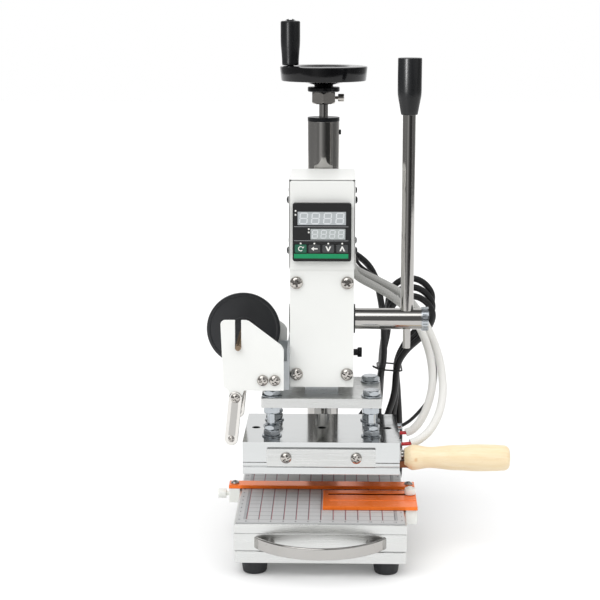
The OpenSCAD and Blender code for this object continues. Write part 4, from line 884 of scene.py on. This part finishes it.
# Foil arms: a pivot screw, a foot screw and a rib on either side
ARM_X, ARM_Z, ARM_REACH, ARM_LEAN, RIB_OUT = -71, 134.4, 35, math.radians(6), 0.45
arm_low, arm_high = span("foil_guide")
foot_x, foot_z = ARM_X - ARM_REACH * math.sin(ARM_LEAN), ARM_Z - ARM_REACH * math.cos(ARM_LEAN)
for name, head, x, z, turns in (("arm_pivot_screws", (8, 2.4), ARM_X, ARM_Z, (30, 10)),
                                ("arm_foot_screws", (5.5, 1.8), foot_x, foot_z, (75, 40))):
    seats = [((x, arm_low.y, z), FRONT, turns[0]), ((x, arm_high.y, z), BACK, turns[1])]
    seated(name, cross_screw(*head), nickel, "head", seats)
ribs = []
for y, out in ((arm_low.y, -RIB_OUT), (arm_high.y, RIB_OUT)):
    rib = block("arm_rib", (-2.7, min(out, -0.1), -32), (2.7, max(out, 0.1), -3), 0.3, 3)
    ribs.append(settle(rib, aim((ARM_X, y, ARM_Z)) @ Matrix.Rotation(ARM_LEAN, 4, "Y")))
dress(joined("arm_ribs", ribs), chrome, "head", "chrome")

bar_low, bar_mid, bar = extent("long_stop_bar")
seats = [((x, bar_mid.y, bar_low.z + bar.z), UP, turn)
         for x, turn in ((bar_low.x + 5, 15), (bar_low.x + bar.x - 5, 50))]
seated("stop_bar_screws", cross_screw(7.3, 2.2), nickel, "long_stop", seats)
seats = [((side * box_high.x, box_low.y + y, box_low.z + z), (side, 0, 0), 20 * z)
         for side in (-1, 1) for y, z in ((8, 15), (8, 57), (52, 17), (52, 60))]
box_screw = cut(domed(6, 2, 0.3, 32), hexagon(2.5, 2, 0.7))
seated("box_screws", box_screw, black_steel, "head", seats)

# Hangers: bolts with a plain shank between their nuts
HANGER_X, HANGER_Y, BOLT_R, SHANK_R, FLATS, WASHER = 41.5, (-30, 22), 4, 3.9, 13, 1.2
plate_low, plate_high = [corner.z for corner in span("press_plate")]
heat_high = span("heat_block")[1]
heat_top = heat_high.z
stud_low = span("hanger_bolts")[0].z
hangers = [(x, y) for x in (-HANGER_X, HANGER_X) for y in HANGER_Y]
shank_low, shank_high = heat_top + 11.5, plate_low - 1
outline = [(0, stud_low)] + threads(BOLT_R, stud_low + 0.2, shank_low, 1.25, 0.55)
outline += [(SHANK_R, shank_low + 0.4), (SHANK_R, shank_high), (BOLT_R, shank_high + 0.3),
            (BOLT_R, plate_high + 4), (0, plate_high + 4)]
stud = turned("stud", outline, steps=36)
outline = [(4.3, 0), (8, 0), (8.3, 0.25), (8.3, 0.95), (8, WASHER), (4.3, WASHER), (4.3, 0)]
washer = turned("washer", outline, steps=48)
pieces = [placed("studs", stud, [aim((x, y, 0)) for x, y in hangers]),
          placed("washers", washer, [aim((x, y, z)) for x, y in hangers for z in (plate_high, heat_top)])]
for name, height, z, by_x, by_y in (
        ("heads", 4.4, plate_high + WASHER, 7, 3), ("upper_nuts", 6.2, plate_low - 6.3, 5, 2),
        ("lower_nuts", 5, heat_top + WASHER, 3, 1), ("jam_nuts", 4, heat_top + 6.3, 4, 5)):
    moves = [aim((x, y, z), turn=by_x * x + by_y * y) for x, y in hangers]
    pieces.append(placed(name, nut(FLATS, height), moves))
dress(joined("hanger_fasteners", pieces), zinc, "press", "steel", "hanger_bolts")
grub = cut(turned("grub", [(0, 0), (1.95, 0), (1.95, 3.6), (1.6, 4), (0, 4)], steps=32), hexagon(2, 3, 2))
seats = [((heat_high.x - 16.5, y, heat_top - 4.3), UP, 9 * y) for y in (-23, 12)]
seated("heater_clamp_screws", grub, black_steel, "press", seats)

# Handwheel, moulded and polished, with a crowned rim and a dished middle
SCREW_BORE = 4.05
outline = [(SCREW_BORE, 0), (13, 0), (13.6, 0.2), (14, 0.8), (14, 3.5), (13.7, 4.1), (13.1, 4.3), (9, 4.3),
           (8.4, 4.6), (8.2, 5.2), (8.4, 5.9), (9.2, 6.3), (12, 6.8), (20.5, 9.2), (21.6, 9.45), (23.2, 9.5),
           (36.1, 9.5), (36.7, 9.7), (37, 10.3), (38, 20.9), (37.9, 21.45), (37.6, 21.8)]
outline += [(37.2 - 14.2 * i / 14, 22.5 - 0.6 * (i / 7 - 1) ** 2) for i in range(15)]
outline += [(22.6, 21.6), (22.2, 21), (20.6, 17.4), (19.6, 16.4), (18.2, 16), (10, 16), (8.9, 16.3),
            (8.3, 17.2), (7.8, 18.6), (7.2, 19.3), (6.5, 19.5), (SCREW_BORE, 19.5), (SCREW_BORE, 0)]
lathe("wheel", "handwheel", outline, UP, 128, bakelite, "black_plastic")

# Crank grip, free on its pin
crank = extent("crank_grip")[2]
length, r, bore_r = crank.z, crank.x / 2, 3.05
keys = [(1, r - 1.2), (length * 0.6, r), (length - 1.2, r)]
outline = [(bore_r, 0), (r - 1.9, 0), (r - 1.4, 0.3)]
for i in range(25):
    z = 1 + (length - 2.2) * i / 24
    outline.append((eased(keys, z), z))
outline += [(r - 0.25, length - 0.55), (r - 0.9, length - 0.1), (r - 1.6, length), (bore_r, length)]
outline.append(outline[0])
crank_handle = lathe("crank_handle", "crank_grip", outline, UP, 72, grip_black, "black_plastic")

# Small screw that holds the column's cap, in its right side
column_high = span("column")[1]
outline = [(0, 0), (2.2, 0), (2.2, 1.2), (1.8, 1.6), (0, 1.6)]
cap_screw = cut(turned("cap_screw", outline, steps=32), hexagon(2, 2, 0.8))
settle(cap_screw, aim((column_high.x - 0.2, span("column_cap")[1].y - 14, column_high.z - 9.6), RIGHT))
dress(cap_screw, black_steel, "frame", "steel")

# Hexagon collar under the wheel and its thumb screw
wheel_mid = extent("handwheel")[1]
collar_low, collar_mid, collar_size = extent("hex_collar")
collar = nut(20, collar_size.z)
collar.name = "collar_nut"
bore = [(0, -1), (SCREW_BORE, -1), (SCREW_BORE, collar_size.z + 1), (0, collar_size.z + 1)]
cut(collar, turned("bore", bore, steps=40))
settle(collar, aim((wheel_mid.x, wheel_mid.y, collar_low.z), turn=30))
dress(collar, nickel, "wheel", "steel", "hex_collar")
outline = [(0, 0)] + threads(1.5, 0.2, 8, 0.7, 0.25)
outline += [(2.2, 8.3), (3.1, 8.4), (3.4, 8.8), (3.4, 13.1), (3.05, 13.6), (2.2, 13.7), (0, 13.7)]
thumb = turned("thumb_screw", outline, (4.2, wheel_mid.y, collar_mid.z), RIGHT, 48)
dress(thumb, nickel, "wheel", "steel")

# Lever grip
TAPER = 17.5
lever = extent("lever_grip")[2]
length, r = lever.z, lever.x / 2
rod_r = extent("lever_rod")[2].x / 2
foot_r = rod_r + 1.6
outline = [(rod_r + 0.05, 0), (foot_r - 0.9, 0), (foot_r - 0.35, 0.25), (foot_r - 0.03, 0.8)]
outline += [(foot_r + 0.05 + (r - 0.35 - foot_r) * i / 8, 1 + (TAPER - 3) * i / 8) for i in range(9)]
outline += [(r - 0.15, TAPER - 0.6), (r - 0.03, TAPER + 1), (r, TAPER + 2.5), (r, length - 0.8),
            (r - 0.12, length - 0.4), (r - 0.5, length - 0.1), (r - 1.2, length), (0, length)]
lever_handle = lathe("lever_handle", "lever_grip", outline, UP, 72, grip_black, "black_plastic")

# Turned wooden handle, its tongue and its chrome pin
CORNER, BAR_HALF, BAR_THICK, LUG_X = 5, 6, 5.6, 65.3
wood_mid, handle = extent("wood_handle")[1:]
length, r = handle.x, handle.y / 2
wood_end = length - CORNER
keys = [(0, r - 3.5), (length * 0.08, r - 0.6), (length * 0.24, r - 2.4), (length * 0.5, r - 0.7),
        (length * 0.7, r), (length * 0.86, r - 0.2), (wood_end, r - 0.7)]
outline = [(0, 0), (r - 4.4, 0), (r - 3.7, 0.3)]
outline += [(eased(keys, wood_end * i / 40), wood_end * i / 40) for i in range(1, 41)]
outline += arc(r - 0.7 - CORNER, wood_end, CORNER, 10, 90, 10)
outline.append((0, length))
lathe("drawer_handle", "wood_handle", outline, RIGHT, 72, wood, "wood")
tongue_low, tongue_high = span("drawer_tongue")
bar_top = tongue_low.z + BAR_THICK
tongue = block("drawer_bar", (tongue_low.x, wood_mid.y - BAR_HALF, tongue_low.z),
               (tongue_high.x, wood_mid.y + BAR_HALF, bar_top), 0.6)
dress(tongue, browned, "drawer", "brown_tongue", "drawer_tongue")
pin_z = bar_top + 4.5
lug = block("drawer_lug", (LUG_X, wood_mid.y - 4, tongue_low.z + 5),
            (LUG_X + 1.5, wood_mid.y + 4, pin_z + 4.5), 0.4)
outline = [(0, 0), (3.8, 0), (3.8, 3), (3.2, 3.4), (3.2, 4), (3.8, 4.4), (3.8, 14), (0, 14)]
tang = turned("drawer_tang", outline, (LUG_X, wood_mid.y, pin_z), RIGHT, 40)
dress(joined("drawer_tang", [tang, lug]), chrome, "drawer", "chrome")

# Reel axle, a threaded rod, and the reel's black disc
length = extent("foil_axle")[2].y
outline = [(0, 0), (1.9, 0)] + threads(2.5, 0.5, length - 0.5, 0.9, 0.35) + [(1.9, length), (0, length)]
lathe("reel_axle", "foil_axle", outline, BACK, 28, oiled, "steel")
r, bore_r = extent("foil_disc")[2].x / 2, 2.55
outline = [(bore_r, 0.5), (9, 0.5), (9.4, 0.1), (10.6, 0.1), (11, 0.5), (r - 3.4, 0.5), (r - 2.9, 0.1),
           (r - 2.5, 0), (r - 0.7, 0), (r - 0.2, 0.25), (r, 0.8), (r, 2.2), (r - 0.2, 2.75), (r - 0.7, 3),
           (9.2, 3), (8.3, 3.4), (8, 4.2), (8, 8.4), (7.5, 9), (bore_r, 9), (bore_r, 0.5)]
lathe("reel_disc", "foil_disc", outline, BACK, 96, disc_black, "black_plastic")

# Nylon clamp knobs of the stops
length = extent("long_stop_knob")[2].x
outline = [(0, 0.5), (1.6, 0.5), (2, 0), (3.5, 0), (4, 0.25), (4.2, 0.8), (4.2, 6.2), (4, 6.8), (3.5, 7),
           (2, 7), (2, length - 0.4), (1.6, length), (0, length)]
lathe("long_stop_clamp_knob", "long_stop_knob", outline, RIGHT, 48, nylon, "white_nylon")
deck = stop_high.z - span("short_stop_knob")[0].z + 0.3
top = extent("short_stop_knob")[2].z
outline = [(0, 0), (2, 0), (2, deck), (4, deck), (4.4, deck + 0.2), (4.5, deck + 0.6), (4.5, top - 2.2),
           (4.2, top - 1.5), (3.6, top - 1.2), (2.1, top - 1.2), (2, top - 0.4), (1.6, top), (0, top)]
lathe("short_stop_clamp_knob", "short_stop_knob", outline, UP, 48, nylon, "white_nylon")

# Column lock screw with a ribbed knob
length = extent("column_lock_screw")[2].x
outline = [(0, 0), (2.2, 0), (2.5, 0.4)]
outline += [(r, length - in_from_end) for r, in_from_end in
            ((2.5, 11), (3.7, 11), (4, 10.6), (4, 8.4), (3.7, 8), (3, 7.6), (3, 4.2), (4.1, 4), (4.5, 3.5),
             (4.5, 0.6), (4, 0), (0, 0))]
lathe("lock_knob", "column_lock_screw", outline, RIGHT, 40, black_steel, "steel")

# Return spring inside the head, bound between the ram and the head's roof
COIL_R, COIL_WIRE, COIL_TURNS, COIL_STEPS = 6, 1.6, 6, 24
spring_low, spring_high = span("return_spring")
spring_mid = (spring_low + spring_high) / 2
rise = spring_high.z - spring_low.z - COIL_WIRE
coil = []
for i in range(COIL_TURNS * COIL_STEPS + 1):
    a = 2 * math.pi * i / COIL_STEPS
    z = spring_low.z + COIL_WIRE / 2 + rise * i / (COIL_TURNS * COIL_STEPS)
    coil.append(Vector((spring_mid.x + COIL_R * math.cos(a), spring_mid.y + COIL_R * math.sin(a), z)) * MM)
spring = tube("lift_spring", coil, COIL_WIRE, 10)
spring.data.materials.append(spring_wire)
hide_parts("return_spring")
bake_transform(spring)

# Controller face: panes, unlit digits, printed lines, lamps and key signs
KEYS = (("button_set", -17.4), ("button_shift", -6.2), ("button_down", 5.2), ("button_up", 16.6))
PANE_GAP, SIGN_THICK, FACE_RIGHT = 0.02, 0.3, 45.6
face_low, face_high = span("temp_controller")
face_y, face_top, face_left = face_low.y, face_high.z, face_low.x
middle_z = face_top - 24


def segment_digit(x, z, tall, broad, y):
    """The seven unlit bars of one digit."""
    slant, edge = 0.09, 0.085 * broad
    bars = []
    for dx, dz, upright in ((0, 1, 0), (0, 0, 0), (0, -1, 0),
                            (-1, 0.5, 1), (1, 0.5, 1), (-1, -0.5, 1), (1, -0.5, 1)):
        cx, cz = x + dx * broad / 2 + slant * dz * tall / 2, z + dz * tall / 2
        half = (tall / 4 if upright else broad / 2) - 0.12
        tip = half - edge
        shape = [(-half, 0), (-tip, edge), (tip, edge), (half, 0), (tip, -edge), (-tip, -edge)]
        if upright:
            shape = [(b + slant * a, a) for a, b in shape]
        bars.append(plate("bar", [(cx + a, cz + b) for a, b in shape], y, 0.06))
    return bars


for name, finish, left, low, right, high, digits, tall, broad in (
        ("upper", upper_pane, -20, 6, 19.6, 17, (-15, -5.3, 4.6, 14.6), 8.6, 5.9),
        ("lower", lower_pane, -9.4, -6, 19.2, 3, (-5.7, 1.4, 8.5, 15.6), 6.4, 4.1)):
    pane = block(name + "_pane", (left + PANE_GAP, face_y + 0.3, middle_z + low + PANE_GAP),
                 (right - PANE_GAP, face_y + 0.62, middle_z + high - PANE_GAP), 0.1)
    dress(pane, finish, "head", "controller_case")
    bars = []
    for x in digits:
        bars += segment_digit(x, middle_z + (low + high) / 2, tall, broad, face_y + 0.27)
    dress(joined(name + "_digits", bars), ghost, "head", "grey_button")
lines = [block("line", (face_left + 1, face_y - 0.05, face_top - down - 0.22),
               (face_left + FACE_RIGHT, face_y + 0.3, face_top - down + 0.22), 0.08) for down in (19.3, 30.9)]
dress(joined("face_lines", lines), print_grey, "head", "grey_button")
lamp = turned("lamp", [(0, 0), (0.75, 0), (0.7, 0.2), (0.4, 0.36), (0, 0.42)], steps=20)
spots = [(2.4, 6.3), (2.4, 9.6), (13.2, 21.3), (13.2, 24)] + [(24 + x, 33.2) for node, x in KEYS]
moves = [aim((face_left + x, face_y + 0.04, face_top - z), FRONT) for x, z in spots]
dress(placed("face_lamps", lamp, moves), print_white, "head", "grey_button")
field = block("face_field", (face_left + 1.1, face_y - 0.12, face_top - 45.5),
              (face_left + FACE_RIGHT, face_y + 0.3, face_top - 41.7), 0.12)
dress(field, print_green, "head", "green_button")
hook = arc(0, 0, 2.1, 40, 320, 20) + arc(0, 0, 1.45, 40, 320, 20)[::-1]
caret = [(-2.3, -2), (-0.5, 2), (0.5, 2), (2.3, -2), (1.1, -2), (0, 0.6), (-1.1, -2)]
arrow = [(-2.6, 0), (-0.4, 1.7), (-0.4, 0.5), (2.6, 0.5), (2.6, -0.5), (-0.4, -0.5), (-0.4, -1.7)]
signs = ([hook, [(0.7, 1.5), (2.9, 1.6), (1.9, 0.1)]], [arrow], [[(a, -b) for a, b in caret]], [caret])
for (node, x), outlines in zip(KEYS, signs):
    key_low, key_mid = extent(node)[:2]
    shapes = [plate("sign", [(x + a, key_mid.z + b) for a, b in outline], key_low.y - 0.06, SIGN_THICK)
              for outline in outlines]
    dress(joined(node + "_sign", shapes), print_white, body_of[node], "grey_button")

# Plain numbers of the mat's scales
mat_top = span("grid_mat")[1].z
labels = [(str(i), -GRID_X + 10 * i, GRID_Y - 4.4) for i in range(13)]
labels += [(str(i), side * (GRID_X + 5.6), GRID_Y + 10 * i) for i in range(14) for side in (-1, 1)]
numbers = []
for text, x, y in labels:
    drop_all()
    bpy.ops.object.text_add()
    label = bpy.context.object
    label.data.body = text
    label.data.size = 3.2 * MM
    label.data.align_x = "CENTER"
    label.data.align_y = "CENTER"
    label.data.extrude = 0.03 * MM
    bpy.ops.object.convert(target="MESH")
    numbers.append(settle(bpy.context.object, aim((x, y, mat_top + 0.02))))
dress(joined("mat_numbers", numbers), print_dark, "table", "grid_mat")


# Floor, light and surroundings

# The paper lies under and behind the machine, and stops short of the camera, so that chrome sees a dark room
drop_all()
bpy.ops.mesh.primitive_plane_add(size=1, location=(0, 2.55, 0))
floor = bpy.context.object
floor.name = "floor"
floor.scale = (4.4, 7.0, 1)
settle(floor)
paper = speckled("matt_paper", ("#EFEFEF", "#ECECEC"), 3, (0.75, 0.85), patch=300)
tuned(paper, {"Emission Color": (1, 1, 1, 1), "Emission Strength": 0.06})
floor.data.materials.append(paper)


def lit_from(name, kind, place, target, power, **settings):
    """A light at a place in metres, facing a target."""
    light = bpy.data.lights.new(name, kind)
    light.energy = power
    for key, value in settings.items():
        setattr(light, key, value)
    holder = bpy.data.objects.new(name, light)
    holder.location = place
    holder.rotation_euler = (Vector(target) - Vector(place)).to_track_quat("-Z", "Y").to_euler()
    scene.collection.objects.link(holder)
    return holder


lit_from("key_light", "SUN", (-0.6, -1.0, 1.5), (0, 0, 0.2), 1.0, angle=math.radians(50))
lit_from("fill_light", "SUN", (1.2, -0.8, 1.2), (0, 0, 0.2), 0.4, angle=math.radians(70))

# Narrow upright windows on the left, each for the long soft gleam down one grip alone
for piece, power, high in ((crank_handle, 6.0, 0.45), (lever_handle, 17.0, 0.68)):
    window = lit_from(piece.name + "_window", "AREA", (-0.62, -0.98, high), (0, 0, 0.4), power,
                      shape="RECTANGLE", size=0.15, size_y=0.6)
    window.visible_camera = False
    lit_piece = bpy.data.collections.new(piece.name + "_lit")
    lit_piece.objects.link(piece)
    window.light_linking.receiver_collection = lit_piece

# Surroundings: a white tent, brighter above, for the light, and a dark room with bright panels to reflect
WHITE = (1, 1, 1, 1)
studio = bpy.data.worlds.new("studio")
scene.world = studio
studio.use_nodes = True
tree = studio.node_tree
tree.nodes.clear()
towards = add(tree, "TexCoord").outputs["Generated"]
round_about = add(tree, "TexGradient", {"Vector": towards}, gradient_type="RADIAL")
walls = add(tree, "ValToRGB", {0: round_about.outputs["Fac"]})
# Brightness round the room by share of a turn: 0 is left, 0.25 front, 0.5 right, 0.75 back
stops = ((0.0, 0.26), (0.1, 0.28), (0.15, 0.22), (0.18, 0.45), (0.2, 0.48), (0.24, 0.22), (0.28, 0.1),
         (0.3, 0.05), (0.36, 0.05), (0.39, 0.09), (0.42, 0.24), (0.44, 0.24), (0.46, 0.16), (0.52, 0.18),
         (0.56, 0.26), (0.63, 0.4), (0.68, 0.95), (0.82, 0.95), (0.86, 0.3), (0.97, 0.26))
marks = walls.color_ramp.elements
for mark, (position, shade) in ((marks[0], stops[0]), (marks[1], stops[-1])):
    mark.position = position
    mark.color = (shade, shade, shade, 1)
for position, shade in stops[1:-1]:
    marks.new(position).color = (shade, shade, shade, 1)
axes = add(tree, "SeparateXYZ", {0: towards})
roof = add(tree, "MapRange", {0: axes.outputs[2], 1: 0.79, 2: 0.86})
panel = add(tree, "MapRange", {0: axes.outputs[1], 1: -0.28, 2: -0.12, 3: 0.95, 4: 0.14})
around = add(tree, "Mix", {0: roof, 6: walls, 7: panel}, data_type="RGBA")
room = add(tree, "Background", {0: around, 1: 1.0})
sky = add(tree, "MapRange", {0: axes.outputs[2], 1: 0.0, 2: 1.0, 3: 0.33, 4: 1.4})
tent = add(tree, "Background", {0: WHITE, 1: sky})
plain = add(tree, "Background", {0: WHITE, 1: 1.0})
seen = add(tree, "LightPath")
lit = add(tree, "MixShader", {0: seen.outputs["Is Glossy Ray"], 1: tent, 2: room})
viewed = add(tree, "MixShader", {0: seen.outputs["Is Camera Ray"], 1: lit, 2: plain})
add(tree, "OutputWorld", {0: viewed})
scene.view_settings.view_transform = "Standard"
